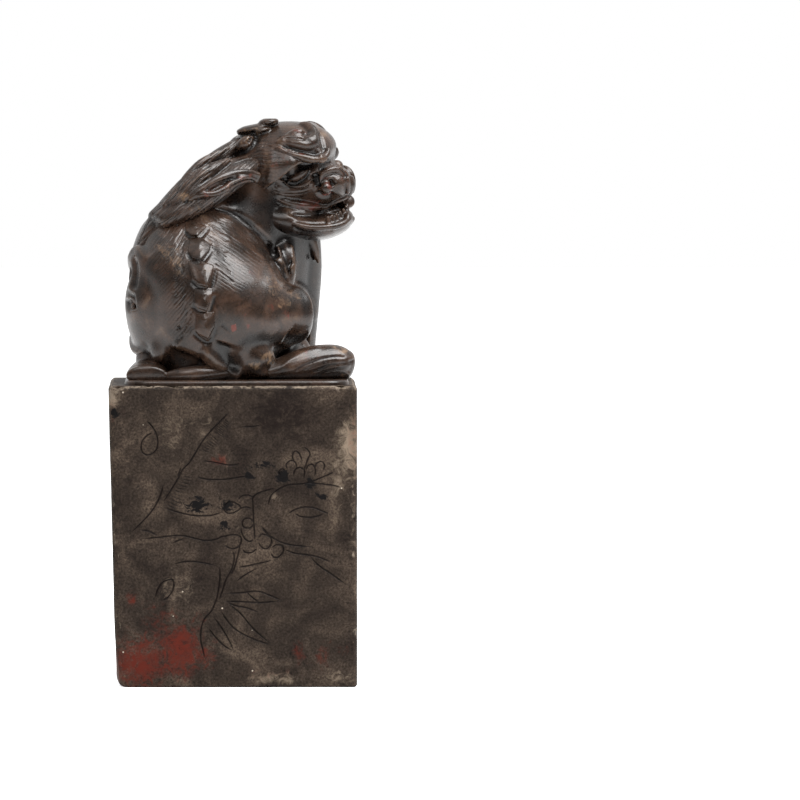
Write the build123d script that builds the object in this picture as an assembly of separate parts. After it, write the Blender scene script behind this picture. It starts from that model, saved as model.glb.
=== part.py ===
from build123d import *
import os
from math import cos, pi, radians, sin, sqrt

os.makedirs("parts", exist_ok=True)

# A tall square seal of carved stone with a guardian beast squatting on top, its head turned to +X.
# The origin is the middle of the seal face, +Z runs up through the beast, and the view is along +Y.

# The block
BLOCK_W = 60.0
BLOCK_D = 60.0
BLOCK_H = 72.5
BLOCK_LEAN = 1.9        # how far the left side leans in towards the seal face
BLOCK_CORNER_R = 1.6
BLOCK_BEVEL = 0.9

# The ground slab under the beast
PLINTH_W = BLOCK_W * 0.9
PLINTH_D = BLOCK_D * 0.9
PLINTH_H = 1.2
PLINTH_CORNER_R = 6.0
PLINTH_SHIFT = 1.0      # the slab lies a little to the right of the axis

# The beast as a whole: how far it spreads from the axis, and how far its crown is above the block.
# Its carver laid every member out from that reach, so each size below is a share of it.
REACH = BLOCK_W / 2
BEAST_H = REACH * 2.11

# Body
TORSO_W = REACH * 1.3667
TORSO_D = REACH * 1.2333
CHEST_W = REACH * 0.8333
CHEST_D = REACH * 0.7333
NECK_W = REACH * 0.9333
NECK_D = REACH * 0.8667
HAUNCH_RIGHT_R = REACH * 0.4167
HAUNCH_LEFT_R = REACH * 0.4133
CALF_R = REACH * 0.14
SHANK_R = REACH * 0.1533
HIND_FOOT_W = REACH * 0.3333
HIND_FOOT_H = REACH * 0.3333
HIND_PAW_W = REACH * 0.2933
HIND_PAW_H = REACH * 0.22
TOE_R = REACH * 0.07
TOE_COUNT = 4
TAIL_R = REACH * 0.0733
FORELEG_R = REACH * 0.1667
FORE_PAW_W = REACH * 0.3333
FORE_PAW_H = REACH * 0.22
FRILL_W = REACH * 0.3667
FRILL_T = REACH * 0.22
TUFT_W = REACH * 0.1533
TUFT_T = REACH * 0.1

# Head
HEAD_L = REACH
HEAD_W = REACH * 0.8333
HEAD_H = REACH * 0.9533
HEAD_OFFSET = REACH * 0.3167     # the head's middle plane stands this far behind the seal's axis
HEAD_TURN = 8.0                  # degrees that the nose comes round towards the viewer
MUZZLE_W = REACH * 0.6
JAW_W = REACH * 0.7
NOSE_R = REACH * 0.0767
BROW_R = REACH * 0.06
EYE_H = REACH * 0.14
TOOTH_R = REACH * 0.0283
TOOTH_H = REACH * 0.0867
TOOTH_COUNT = 9
TOOTH_SIDES = 6
EAR_W = REACH * 0.2467
EAR_T = REACH * 0.1133
ROLLED_EAR_W = REACH * 0.3
ROLLED_EAR_T = REACH * 0.1667
HORN_W = REACH * 0.2267
HORN_T = REACH * 0.0933
CURL_R = REACH * 0.08

# Mane
NAPE_W = REACH * 0.6
NAPE_T = REACH * 0.28
TRESS_W = REACH * 0.3667
TRESS_T = REACH * 0.2133
SHOULDER_TRESS_W = REACH * 0.2867
SHOULDER_TRESS_T = REACH * 0.1667
CORD_HOLE_R = 1.9
CORD_HOLE_L = 4.4

# Spine plates
PLATE_W = REACH * 0.1633
PLATE_H = REACH * 0.2133
PLATE_T = REACH * 0.0533

OVERRUN = 5.0           # how far a cutting tool runs past what it cuts
BIG_SIDES = 16
LIMB_SIDES = 10
SMALL_SIDES = 8


def body_spot(x_share, y_share, z_share):
    """A place on the beast, in shares of its reach from the axis and its height over the block."""
    return Vector(x_share * REACH, y_share * REACH, BLOCK_H + z_share * BEAST_H)


HEAD_FORWARD = Vector(cos(radians(HEAD_TURN)), -sin(radians(HEAD_TURN)), 0)
HEAD_SIDE = Vector(sin(radians(HEAD_TURN)), cos(radians(HEAD_TURN)), 0)
HEAD_FOOT = Vector(0, HEAD_OFFSET, BLOCK_H + BEAST_H - HEAD_H)
UP = Vector(0, 0, 1)


def head_spot(along_share, side_share, up_share):
    """A place on the head: along it from nape to nose, sideways from its middle, and up from the chin."""
    along = HEAD_FORWARD * (along_share * HEAD_L)
    side = HEAD_SIDE * (side_share * HEAD_W / 2)
    return HEAD_FOOT + along + side + UP * (up_share * HEAD_H)


def oval_ring(centre, across, over, half_across, half_over, sides, squareness=1.0):
    """The corners of a faceted oval. A squareness under 1 swells it towards a rounded square."""
    corners = []
    for corner in range(sides):
        angle = 2 * pi * (corner + 1 / 2) / sides
        reach_across = abs(cos(angle)) ** squareness * (1 if cos(angle) >= 0 else -1)
        reach_over = abs(sin(angle)) ** squareness * (1 if sin(angle) >= 0 else -1)
        corners.append(centre + across * (half_across * reach_across) + over * (half_over * reach_over))
    return corners


def triangle(first, second, third):
    return Face(Wire.make_polygon([first, second, third]))


def facet_solid(rings, first_tip, last_tip):
    """A closed solid of flat facets through rings of corners, drawn in to a tip at each end."""
    faces = []
    sides = len(rings[0])
    for corner in range(sides):
        after = (corner + 1) % sides
        faces.append(triangle(first_tip, rings[0][after], rings[0][corner]))
        faces.append(triangle(last_tip, rings[-1][corner], rings[-1][after]))
        for lower, upper in zip(rings, rings[1:]):
            a, b, c, d = lower[corner], lower[after], upper[after], upper[corner]
            if (c - a).length <= (d - b).length:
                faces += [triangle(a, b, c), triangle(a, c, d)]
            else:
                faces += [triangle(a, b, d), triangle(b, c, d)]
    return Solid(Shell(faces))


def eased(table):
    """Adds a row between each two of a table, on a smooth curve through its neighbours."""
    rows = [table[0]]
    for index in range(len(table) - 1):
        before = table[max(index - 1, 0)]
        after = table[min(index + 2, len(table) - 1)]
        pair = zip(before, table[index], table[index + 1], after)
        rows.append(tuple((9 * (b + c) - a - d) / 16 for a, b, c, d in pair))
        rows.append(table[index + 1])
    return rows


def stacked(stations, half_width, half_depth, sides=BIG_SIDES, squareness=0.9):
    """An upright mass through level rings. A station is a place with its shares of width and depth."""
    rings = []
    for place, width_share, depth_share in stations:
        width, depth = half_width * width_share, half_depth * depth_share
        rings.append(oval_ring(place, Vector(1, 0, 0), Vector(0, 1, 0), width, depth, sides, squareness))
    return facet_solid(rings, stations[0][0], stations[-1][0])


def limb(stations, half_width, half_thick, across, sides=LIMB_SIDES, squareness=1.0, dome_share=0.55):
    """A limb along a bent line, with rings square to it and a domed end at both ends."""
    places = [station[0] for station in stations]
    rings = []
    for index, (place, width_share, thick_share) in enumerate(stations):
        before = places[max(index - 1, 0)]
        after = places[min(index + 1, len(places) - 1)]
        along = (after - before).normalized()
        wide = (across - along * across.dot(along)).normalized()
        over = along.cross(wide)
        width, thick = half_width * width_share, half_thick * thick_share
        rings.append(oval_ring(place, wide, over, width, thick, sides, squareness))
    start = (places[0] - places[1]).normalized()
    end = (places[-1] - places[-2]).normalized()
    start_reach = dome_share * half_thick * stations[0][2]
    end_reach = dome_share * half_thick * stations[-1][2]
    return facet_solid(rings, places[0] + start * start_reach, places[-1] + end * end_reach)


carved = {}


def seat(name, raw):
    """Cuts a raw form back to its neighbours, so that it meets them face to face, and keeps it."""
    box = raw.bounding_box()
    finished = raw
    for other in carved.values():
        other_box = other.bounding_box()
        apart = (
            box.max.X < other_box.min.X or other_box.max.X < box.min.X
            or box.max.Y < other_box.min.Y or other_box.max.Y < box.min.Y
            or box.max.Z < other_box.min.Z or other_box.max.Z < box.min.Z
        )
        if not apart:
            finished = finished - other
    carved[name] = max(finished.solids(), key=lambda solid: solid.volume)


def fuse(forms):
    whole = forms[0]
    for form in forms[1:]:
        whole = whole + form
    return whole


# Seal block: its left side leans in a little towards the seal face
def block_section(height, inset, lean):
    sketch = RectangleRounded(BLOCK_W - lean - 2 * inset, BLOCK_D - 2 * inset, BLOCK_CORNER_R)
    return Plane(origin=(lean / 2, 0, height)) * sketch


carved["seal_block"] = loft(
    [
        block_section(0, BLOCK_BEVEL / 2, BLOCK_LEAN),
        block_section(BLOCK_BEVEL / 2, 0, BLOCK_LEAN),
        block_section(BLOCK_H - BLOCK_BEVEL, 0, 0),
        block_section(BLOCK_H, BLOCK_BEVEL, 0),
    ],
    ruled=True,
)

carved["plinth"] = extrude(
    Plane(origin=(PLINTH_SHIFT, 0, BLOCK_H)) * RectangleRounded(PLINTH_W, PLINTH_D, PLINTH_CORNER_R),
    PLINTH_H,
)

# Torso: a seated egg, leaning away from the viewer, with the shoulders drawn to the left
TORSO_SHARES = [
    (-0.15, -0.33, 0.010, 0.60, 0.62),
    (-0.15, -0.34, 0.10, 0.74, 0.72),
    (-0.10, -0.30, 0.23, 0.90, 0.92),
    (-0.16, -0.25, 0.355, 0.89, 1.00),
    (-0.247, -0.18, 0.466, 0.859, 0.97),
    (-0.32, -0.09, 0.553, 0.68, 0.88),
    (-0.30, 0.01, 0.624, 0.58, 0.77),
    (-0.21, 0.13, 0.710, 0.38, 0.54),
]
seat("torso", stacked(
    [(body_spot(x, y, z), wide, deep) for x, y, z, wide, deep in eased(TORSO_SHARES)], TORSO_W / 2, TORSO_D / 2,
))


def back_point(x_share, z_share):
    """The point of the torso's back at a place across and a height, off its own table of rings."""
    for lower, upper in zip(TORSO_SHARES, TORSO_SHARES[1:]):
        if z_share <= upper[2]:
            break
    blend = (z_share - lower[2]) / (upper[2] - lower[2])
    x_mid, y_mid, wide, deep = [
        lower[column] + (upper[column] - lower[column]) * blend for column in (0, 1, 3, 4)
    ]
    off_middle = (x_share - x_mid) * REACH / (wide * TORSO_W / 2)
    depth = deep * TORSO_D / 2 * sqrt(max(1 - off_middle ** 2, 0))
    spot = body_spot(x_share, y_mid, z_share)
    return Vector(spot.X, spot.Y - depth, spot.Z)


CHEST_SHARES = [
    (0.27, 0.40, 0.18, 0.70, 0.70),
    (0.23, 0.40, 0.31, 0.90, 0.91),
    (0.23, 0.37, 0.434, 1.00, 1.00),
    (0.27, 0.33, 0.545, 0.96, 1.00),
    (0.27, 0.27, 0.64, 0.84, 0.92),
]
seat("chest", stacked(
    [(body_spot(x, y, z), wide, deep) for x, y, z, wide, deep in eased(CHEST_SHARES)], CHEST_W / 2, CHEST_D / 2,
))

NECK_SHARES = [
    (-0.07, 0.13, 0.50, 0.95, 0.95),
    (-0.03, 0.17, 0.59, 0.93, 0.95),
    (0.05, 0.22, 0.69, 0.82, 0.86),
    (0.20, 0.27, 0.81, 0.66, 0.74),
]
seat("neck", stacked(
    [(body_spot(x, y, z), wide, deep) for x, y, z, wide, deep in eased(NECK_SHARES)], NECK_W / 2, NECK_D / 2,
))

# Thighs: a broad egg on each flank, running down to the bent knee
HAUNCH_RIGHT_SHARES = [
    (-0.10, -0.29, 0.400, 0.66),
    (0.08, -0.39, 0.290, 0.92),
    (0.32, -0.34, 0.245, 0.72),
    (0.58, -0.25, 0.250, 0.50),
]
seat("haunch_right", limb(
    [(body_spot(x, y, z), r, r) for x, y, z, r in eased(HAUNCH_RIGHT_SHARES)],
    HAUNCH_RIGHT_R, HAUNCH_RIGHT_R, Vector(0, 1, 0), sides=BIG_SIDES,
))

HAUNCH_LEFT_SHARES = [
    (-0.27, -0.24, 0.470, 0.70),
    (-0.44, -0.27, 0.345, 0.98),
    (-0.47, -0.22, 0.235, 0.93),
    (-0.43, -0.14, 0.120, 0.78),
]
seat("haunch_left", limb(
    [(body_spot(x, y, z), r, r) for x, y, z, r in eased(HAUNCH_LEFT_SHARES)],
    HAUNCH_LEFT_R, HAUNCH_LEFT_R, Vector(0, 1, 0), sides=BIG_SIDES,
))

# Head: a skull with a heavy muzzle, its rings upright across the head's own line
SKULL_SHARES = [
    (0.030, 0.620, 0.58, 0.235),
    (0.140, 0.622, 0.86, 0.325),
    (0.300, 0.611, 0.98, 0.369),
    (0.450, 0.628, 1.00, 0.371),
    (0.575, 0.628, 0.95, 0.360),
    (0.665, 0.605, 0.86, 0.335),
    (0.735, 0.570, 0.72, 0.255),
]
seat("skull", limb(
    [(head_spot(along, 0, up), wide, high) for along, up, wide, high in eased(SKULL_SHARES)],
    HEAD_W / 2, HEAD_H, HEAD_SIDE, sides=BIG_SIDES, squareness=0.82, dome_share=0.1,
))

MUZZLE_SHARES = [
    (0.560, 0.490, 0.92, 0.218),
    (0.690, 0.486, 0.98, 0.220),
    (0.796, 0.474, 1.00, 0.206),
    (0.875, 0.466, 0.94, 0.158),
    (0.930, 0.460, 0.83, 0.122),
    (0.955, 0.460, 0.62, 0.088),
]
seat("muzzle", limb(
    [(head_spot(along, 0, up), wide, high) for along, up, wide, high in eased(MUZZLE_SHARES)],
    MUZZLE_W / 2, HEAD_H, HEAD_SIDE, sides=BIG_SIDES, squareness=0.8, dome_share=0.1,
))

JAW_SHARES = [
    (0.220, 0.215, 0.80, 0.135),
    (0.400, 0.150, 1.00, 0.165),
    (0.590, 0.135, 0.98, 0.170),
    (0.740, 0.120, 0.88, 0.148),
    (0.870, 0.132, 0.70, 0.098),
    (0.945, 0.190, 0.46, 0.080),
]
seat("lower_jaw", limb(
    [(head_spot(along, 0, up), wide, high) for along, up, wide, high in eased(JAW_SHARES)],
    JAW_W / 2, HEAD_H, HEAD_SIDE, sides=BIG_SIDES, squareness=0.85, dome_share=0.15,
))

# Forelegs, straight down from the shoulder, and their paws
FORELEG_RIGHT_SHARES = [
    (0.50, 0.30, 0.56, 1.15),
    (0.53, 0.38, 0.42, 1.00),
    (0.54, 0.45, 0.276, 0.86),
    (0.53, 0.50, 0.134, 0.82),
    (0.53, 0.52, 0.050, 0.86),
]
FORELEG_LEFT_SHARES = [
    (-0.27, 0.33, 0.56, 1.40),
    (-0.23, 0.43, 0.42, 1.15),
    (-0.18, 0.53, 0.276, 0.95),
    (-0.15, 0.58, 0.134, 0.90),
    (-0.15, 0.60, 0.050, 0.92),
]
for side, leg_shares in (("right", FORELEG_RIGHT_SHARES), ("left", FORELEG_LEFT_SHARES)):
    seat("foreleg_" + side, limb(
        [(body_spot(x, y, z), r, r) for x, y, z, r in eased(leg_shares)],
        FORELEG_R, FORELEG_R, Vector(1, 0, 0),
    ))


TOE_ROOT_SHARE = 0.8
TOE_TIP_SHARE = 0.62


def toes(first, last, pointing):
    """A row of short round toes from one place to another, all pointing one way."""
    row = []
    for number in range(TOE_COUNT):
        middle = first + (last - first) * (number / (TOE_COUNT - 1))
        stations = [
            (middle - pointing * TOE_R, TOE_ROOT_SHARE, TOE_ROOT_SHARE),
            (middle, 1, 1),
            (middle + pointing * TOE_R, TOE_TIP_SHARE, TOE_TIP_SHARE),
        ]
        row.append(limb(stations, TOE_R, TOE_R, UP, sides=SMALL_SIDES))
    return row


FORE_PAW_SHARES = [
    (-0.09, 0.057, 0.88, 0.92),
    (0.07, 0.058, 1.00, 1.00),
    (0.20, 0.050, 1.00, 0.82),
]
FORE_TOE_SHARE = 0.25
TOE_HEIGHT_SHARE = 0.042
for side, leg_shares in (("right", FORELEG_RIGHT_SHARES), ("left", FORELEG_LEFT_SHARES)):
    ankle_x, ankle_y = leg_shares[-1][0], leg_shares[-1][1]
    pad = limb(
        [(body_spot(ankle_x, ankle_y + y, z), w, h) for y, z, w, h in eased(FORE_PAW_SHARES)],
        FORE_PAW_W / 2, FORE_PAW_H / 2, Vector(1, 0, 0),
    )
    toe_middle = body_spot(ankle_x, ankle_y + FORE_TOE_SHARE, TOE_HEIGHT_SHARE)
    toe_shift = Vector((FORE_PAW_W - TOE_R) / 2, 0, 0)
    toe_row = toes(toe_middle - toe_shift, toe_middle + toe_shift, Vector(0, 1, 0))
    seat("fore_paw_" + side, fuse([pad] + toe_row))

# Hind feet: the right one splayed to the side in full view, the left one under the far thigh
CALF_SHARES = [
    (0.10, -0.68, 0.115, 0.80),
    (0.21, -0.68, 0.085, 1.00),
    (0.31, -0.62, 0.055, 0.75),
]
seat("calf_right", limb(
    [(body_spot(x, y, z), r, r) for x, y, z, r in eased(CALF_SHARES)], CALF_R, CALF_R, Vector(0, 1, 0),
))

HIND_FOOT_RIGHT_SHARES = [
    (0.27, -0.56, 0.050, 0.74, 0.56),
    (0.43, -0.52, 0.068, 0.92, 0.76),
    (0.63, -0.46, 0.083, 1.00, 0.98),
    (0.82, -0.41, 0.086, 1.00, 0.98),
    (0.92, -0.39, 0.076, 0.84, 0.80),
]
seat("hind_foot_right", limb(
    [(body_spot(x, y, z), w, h) for x, y, z, w, h in eased(HIND_FOOT_RIGHT_SHARES)],
    HIND_FOOT_W / 2, HIND_FOOT_H / 2, Vector(0, 1, 0), dome_share=0.35,
))

SHANK_SHARES = [
    (-0.59, -0.13, 0.170, 1.00),
    (-0.67, -0.36, 0.120, 0.92),
    (-0.69, -0.60, 0.075, 0.80),
]
seat("shank_left", limb(
    [(body_spot(x, y, z), r, r) for x, y, z, r in eased(SHANK_SHARES)], SHANK_R, SHANK_R, UP,
))

HIND_PAW_LEFT_SHARES = [
    (-0.67, -0.72, 0.052, 0.80, 0.95),
    (-0.66, -0.47, 0.055, 1.00, 1.00),
    (-0.64, -0.23, 0.055, 1.00, 1.00),
]
hind_pad = limb(
    [(body_spot(x, y, z), w, h) for x, y, z, w, h in eased(HIND_PAW_LEFT_SHARES)],
    HIND_PAW_W / 2, HIND_PAW_H / 2, Vector(1, 0, 0),
)
first_hind_toe = body_spot(-0.77, -0.66, TOE_HEIGHT_SHARE)
last_hind_toe = body_spot(-0.75, -0.20, TOE_HEIGHT_SHARE)
hind_toes = toes(first_hind_toe, last_hind_toe, Vector(-1, 0, 0))
seat("hind_paw_left", fuse([hind_pad] + hind_toes))

TAIL_SHARES = [
    (-0.05, -0.68, 0.055, 0.80),
    (-0.26, -0.74, 0.042, 1.00),
    (-0.43, -0.74, 0.035, 0.85),
    (-0.56, -0.71, 0.028, 0.40),
]
seat("tail", limb([(body_spot(x, y, z), r, r) for x, y, z, r in eased(TAIL_SHARES)], TAIL_R, TAIL_R, UP,
                  sides=SMALL_SIDES))

# Face: brow ridges, almond eyes, a broad nose with two wings, and a row of lower teeth
BROW_SHARES = [
    (0.430, 0.90, 0.775, 0.60),
    (0.530, 0.84, 0.850, 1.00),
    (0.640, 0.76, 0.872, 1.00),
    (0.730, 0.74, 0.804, 1.05),
    (0.800, 0.74, 0.710, 0.70),
]
EYE_SHARES = [
    (0.505, 0.90, 0.515, 0.45),
    (0.555, 0.91, 0.548, 0.92),
    (0.600, 0.90, 0.578, 1.00),
    (0.650, 0.87, 0.602, 0.85),
    (0.690, 0.83, 0.612, 0.40),
]
for side, sign in (("right", -1), ("left", 1)):
    seat("brow_" + side, limb(
        [(head_spot(along, sign * out, up), r, r) for along, out, up, r in eased(BROW_SHARES)],
        BROW_R, BROW_R, UP, sides=SMALL_SIDES,
    ))
    seat("eye_" + side, limb(
        [(head_spot(along, sign * out, up), r, r) for along, out, up, r in eased(EYE_SHARES)],
        EYE_H / 2, EYE_H / 2, UP, sides=SMALL_SIDES,
    ))

NOSE_SHARES = [
    (0.820, 0.76, 0.430, 1.00),
    (0.885, 0.52, 0.490, 0.85),
    (0.930, 0.18, 0.545, 1.00),
]
nose_line = [(head_spot(along, -out, up), r, r) for along, out, up, r in NOSE_SHARES]
nose_line += [(head_spot(along, out, up), r, r) for along, out, up, r in reversed(NOSE_SHARES)]
seat("nose", limb(nose_line, NOSE_R, NOSE_R, UP, sides=SMALL_SIDES))

TEETH_ARCH_SHARES = (0.74, 0.20, 0.50)
TEETH_SPREAD = 78.0
TOOTH_FOOT_SHARE = 0.18
TOOTH_TIP_SHARE = 0.7
teeth_row = []
for number in range(TOOTH_COUNT):
    turn = radians(TEETH_SPREAD * (2 * number / (TOOTH_COUNT - 1) - 1))
    middle_share, forward_share, side_share = TEETH_ARCH_SHARES
    foot = head_spot(
        middle_share + forward_share * cos(turn), side_share * sin(turn), TOOTH_FOOT_SHARE
    )
    stations = [(foot, 1, 1), (foot + UP * TOOTH_H, TOOTH_TIP_SHARE, TOOTH_TIP_SHARE)]
    teeth_row.append(limb(stations, TOOTH_R, TOOTH_R, HEAD_SIDE, sides=TOOTH_SIDES))
teeth = []
for tooth in teeth_row:
    for neighbour in ("lower_jaw", "muzzle", "skull"):
        tooth = tooth - carved[neighbour]
    teeth += tooth.solids()
carved["teeth"] = Compound(teeth)

# Ears: the near one folded back with a hollow below its rim, the far one rolled to a rim with a slit
EAR_RIGHT_SHARES = [
    (0.24, -0.20, 0.788, 0.58),
    (0.10, -0.31, 0.772, 0.95),
    (-0.06, -0.37, 0.742, 1.00),
    (-0.22, -0.40, 0.709, 0.68),
    (-0.31, -0.39, 0.686, 0.22),
]
ear_body = limb(
    [(body_spot(x, y, z), w, w) for x, y, z, w in eased(EAR_RIGHT_SHARES)],
    EAR_W / 2, EAR_T / 2, UP, sides=SMALL_SIDES,
)
EAR_HOLLOW_SHARE = 0.55
EAR_HOLLOW_DROP_SHARE = 0.12
ear_hollow_shift = Vector(0, -EAR_T / 2, -EAR_W * EAR_HOLLOW_DROP_SHARE)
ear_hollow = limb(
    [(body_spot(x, y, z) + ear_hollow_shift, w, w) for x, y, z, w in eased(EAR_RIGHT_SHARES[1:])],
    EAR_W / 2 * EAR_HOLLOW_SHARE, EAR_T / 2 * EAR_HOLLOW_SHARE, UP, sides=SMALL_SIDES,
)
seat("ear_right", ear_body - ear_hollow)

EAR_LEFT_SHARES = [
    (-0.05, 0.37, 0.835, 0.60),
    (0.05, 0.53, 0.868, 1.00),
    (0.20, 0.65, 0.898, 0.86),
    (0.33, 0.69, 0.912, 0.42),
]
rolled_body = limb(
    [(body_spot(x, y, z), w, w) for x, y, z, w in eased(EAR_LEFT_SHARES)],
    ROLLED_EAR_W / 2, ROLLED_EAR_T / 2, UP, sides=LIMB_SIDES,
)
SLIT_SHARE = 0.42
SLIT_SHIFT_SHARE = 0.33
slit_shift = Vector(-ROLLED_EAR_T * SLIT_SHIFT_SHARE, ROLLED_EAR_T * SLIT_SHIFT_SHARE, 0)
slit = limb(
    [(body_spot(x, y, z) + slit_shift, w, w) for x, y, z, w in eased(EAR_LEFT_SHARES[:3])],
    ROLLED_EAR_W / 2 * SLIT_SHARE, ROLLED_EAR_T / 2 * SLIT_SHARE, UP, sides=SMALL_SIDES,
)
seat("ear_left", rolled_body - slit)

# Horn, flattened back over the crown, and the small oval curl below it
HORN_SHARES = [
    (0.39, -0.08, 0.968, 0.62, 0.60),
    (0.30, -0.08, 0.976, 1.00, 1.00),
    (0.20, -0.10, 0.944, 0.70, 0.80),
    (0.10, -0.12, 0.918, 1.00, 0.95),
    (0.03, -0.12, 0.887, 0.60, 0.60),
]
seat("horn", limb(
    [(head_spot(along, out, up), w, t) for along, out, up, w, t in eased(HORN_SHARES)],
    HORN_W / 2, HORN_T / 2, HEAD_SIDE, sides=SMALL_SIDES,
))
CURL_SHARES = [
    (0.10, -0.66, 0.770, 0.70),
    (0.15, -0.66, 0.820, 1.00),
    (0.20, -0.62, 0.865, 0.75),
]
seat("crown_curl", limb(
    [(head_spot(along, out, up), r, r) for along, out, up, r in eased(CURL_SHARES)],
    CURL_R, CURL_R, HEAD_FORWARD, sides=SMALL_SIDES,
))

# Mane: a long tress down the far flank with a drilled cord hole, a cape over the nape, and a shorter
# tress down the far shoulder
TRESS_SHARES = [
    (0.05, 0.15, 0.905, 0.60),
    (-0.13, 0.07, 0.838, 0.88),
    (-0.34, -0.04, 0.745, 1.00),
    (-0.58, -0.20, 0.612, 1.00),
    (-0.73, -0.33, 0.470, 0.82),
    (-0.79, -0.42, 0.355, 0.52),
    (-0.82, -0.48, 0.284, 0.16),
]
TRESS_LIE_SHARES = (-0.19, 0.91, -0.36)
TRESS_LIE = Vector(*TRESS_LIE_SHARES)
tress_body = limb(
    [(body_spot(x, y, z), w, w) for x, y, z, w in eased(TRESS_SHARES)],
    TRESS_W / 2, TRESS_T / 2, TRESS_LIE,
)
hole_place = body_spot(*TRESS_SHARES[2][:3])
hole_along = (body_spot(*TRESS_SHARES[3][:3]) - body_spot(*TRESS_SHARES[1][:3])).normalized()
hole_wide = (TRESS_LIE - hole_along * TRESS_LIE.dot(hole_along)).normalized()
hole_axis = hole_wide.cross(hole_along)
hole_mouth = hole_place + hole_axis * (TRESS_T / 2)
hole_floor = hole_mouth - hole_axis * CORD_HOLE_L
cord_hole = Plane(origin=hole_floor, z_dir=hole_axis) * Cylinder(
    CORD_HOLE_R, CORD_HOLE_L + OVERRUN, align=(Align.CENTER, Align.CENTER, Align.MIN)
)
seat("mane_tress_side", tress_body - cord_hole)

NAPE_SHARES = [
    (0.20, 0.02, 0.880, 0.75),
    (0.00, -0.09, 0.810, 1.00),
    (-0.22, -0.17, 0.736, 1.00),
    (-0.43, -0.22, 0.670, 0.74),
    (-0.57, -0.27, 0.632, 0.32),
]
NAPE_LIE_SHARES = (0.45, -0.89, 0.00)
seat("mane_nape", limb(
    [(body_spot(x, y, z), w, w) for x, y, z, w in eased(NAPE_SHARES)],
    NAPE_W / 2, NAPE_T / 2, Vector(*NAPE_LIE_SHARES),
))

SHOULDER_TRESS_SHARES = [
    (-0.03, 0.29, 0.870, 0.60),
    (-0.30, 0.29, 0.766, 0.92),
    (-0.53, 0.24, 0.640, 1.00),
    (-0.67, 0.18, 0.498, 0.90),
    (-0.69, 0.14, 0.370, 0.65),
    (-0.62, 0.11, 0.290, 0.20),
]
seat("mane_tress_shoulder", limb(
    [(body_spot(x, y, z), w, w) for x, y, z, w in eased(SHOULDER_TRESS_SHARES)],
    SHOULDER_TRESS_W / 2, SHOULDER_TRESS_T / 2, Vector(0, 1, 0),
))

# Flame-like tufts at the far foreleg, the near elbow and the near shoulder
FRILL_SHARES = [
    (-0.20, 0.47, 0.720, 0.80),
    (-0.30, 0.53, 0.610, 1.00),
    (-0.32, 0.57, 0.480, 0.95),
    (-0.27, 0.53, 0.380, 0.60),
    (-0.20, 0.43, 0.310, 0.20),
]
seat("foreleg_frill_left", limb(
    [(body_spot(x, y, z), w, w) for x, y, z, w in eased(FRILL_SHARES)],
    FRILL_W / 2, FRILL_T / 2, Vector(0, 1, 0),
))

ELBOW_TUFT_SHARES = [
    (0.56, 0.16, 0.580, 1.00),
    (0.66, 0.20, 0.513, 0.95),
    (0.715, 0.22, 0.450, 0.30),
]
seat("elbow_tuft_right", limb(
    [(body_spot(x, y, z), w, w) for x, y, z, w in eased(ELBOW_TUFT_SHARES)],
    TUFT_W / 2, TUFT_T / 2, Vector(0, 1, 0), sides=SMALL_SIDES,
))

SHOULDER_TUFT_SHARES = [
    (0.30, -0.12, 0.537, 0.70),
    (0.42, -0.17, 0.474, 1.00),
    (0.50, -0.18, 0.403, 0.80),
    (0.52, -0.17, 0.352, 0.25),
]
seat("shoulder_tuft_right", limb(
    [(body_spot(x, y, z), w, w) for x, y, z, w in eased(SHOULDER_TUFT_SHARES)],
    TUFT_W / 2, TUFT_T / 2, Vector(1, 0, 0), sides=SMALL_SIDES,
))

# Spine plates: shields that point down, each with its tip standing proud of the back
PLATE_PLACE_SHARES = [
    (-0.364, 0.640),
    (-0.300, 0.587),
    (-0.262, 0.520),
    (-0.244, 0.430),
    (-0.236, 0.328),
    (-0.228, 0.226),
]
PLATE_OUTLINE_SHARES = [(-0.5, 0.34), (0.0, 0.5), (0.5, 0.34), (0.46, -0.14), (0.0, -0.5), (-0.46, -0.14)]
PROBE_SHARE = 0.01
PLATE_TILT = 7.0
plates = []
for x_share, z_share in PLATE_PLACE_SHARES:
    middle = back_point(x_share, z_share)
    across = (back_point(x_share + PROBE_SHARE, z_share) - middle).normalized()
    upward = (back_point(x_share, z_share + PROBE_SHARE) - middle).normalized()
    outward = across.cross(upward).normalized()
    lay = Plane(origin=middle, x_dir=across, z_dir=outward).rotated((-PLATE_TILT, 0, 0))
    outline = [(u * PLATE_W, v * PLATE_H) for u, v in PLATE_OUTLINE_SHARES]
    shield = lay.offset(-PLATE_T / 2) * make_face(Polyline(*outline, close=True))
    plate = extrude(shield, PLATE_T)
    for neighbour in ("torso", "haunch_right", "haunch_left", "mane_nape"):
        plate = plate - carved[neighbour]
    for earlier in plates:
        plate = plate - earlier
    plates.append(max(plate.solids(), key=lambda solid: solid.volume))
carved["spine_plates"] = Compound(plates)

for name, piece in carved.items():
    export_step(piece, "parts/" + name + ".step")
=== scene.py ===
import math

import bpy
import numpy as np
from mathutils import Matrix, Vector, geometry


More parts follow.
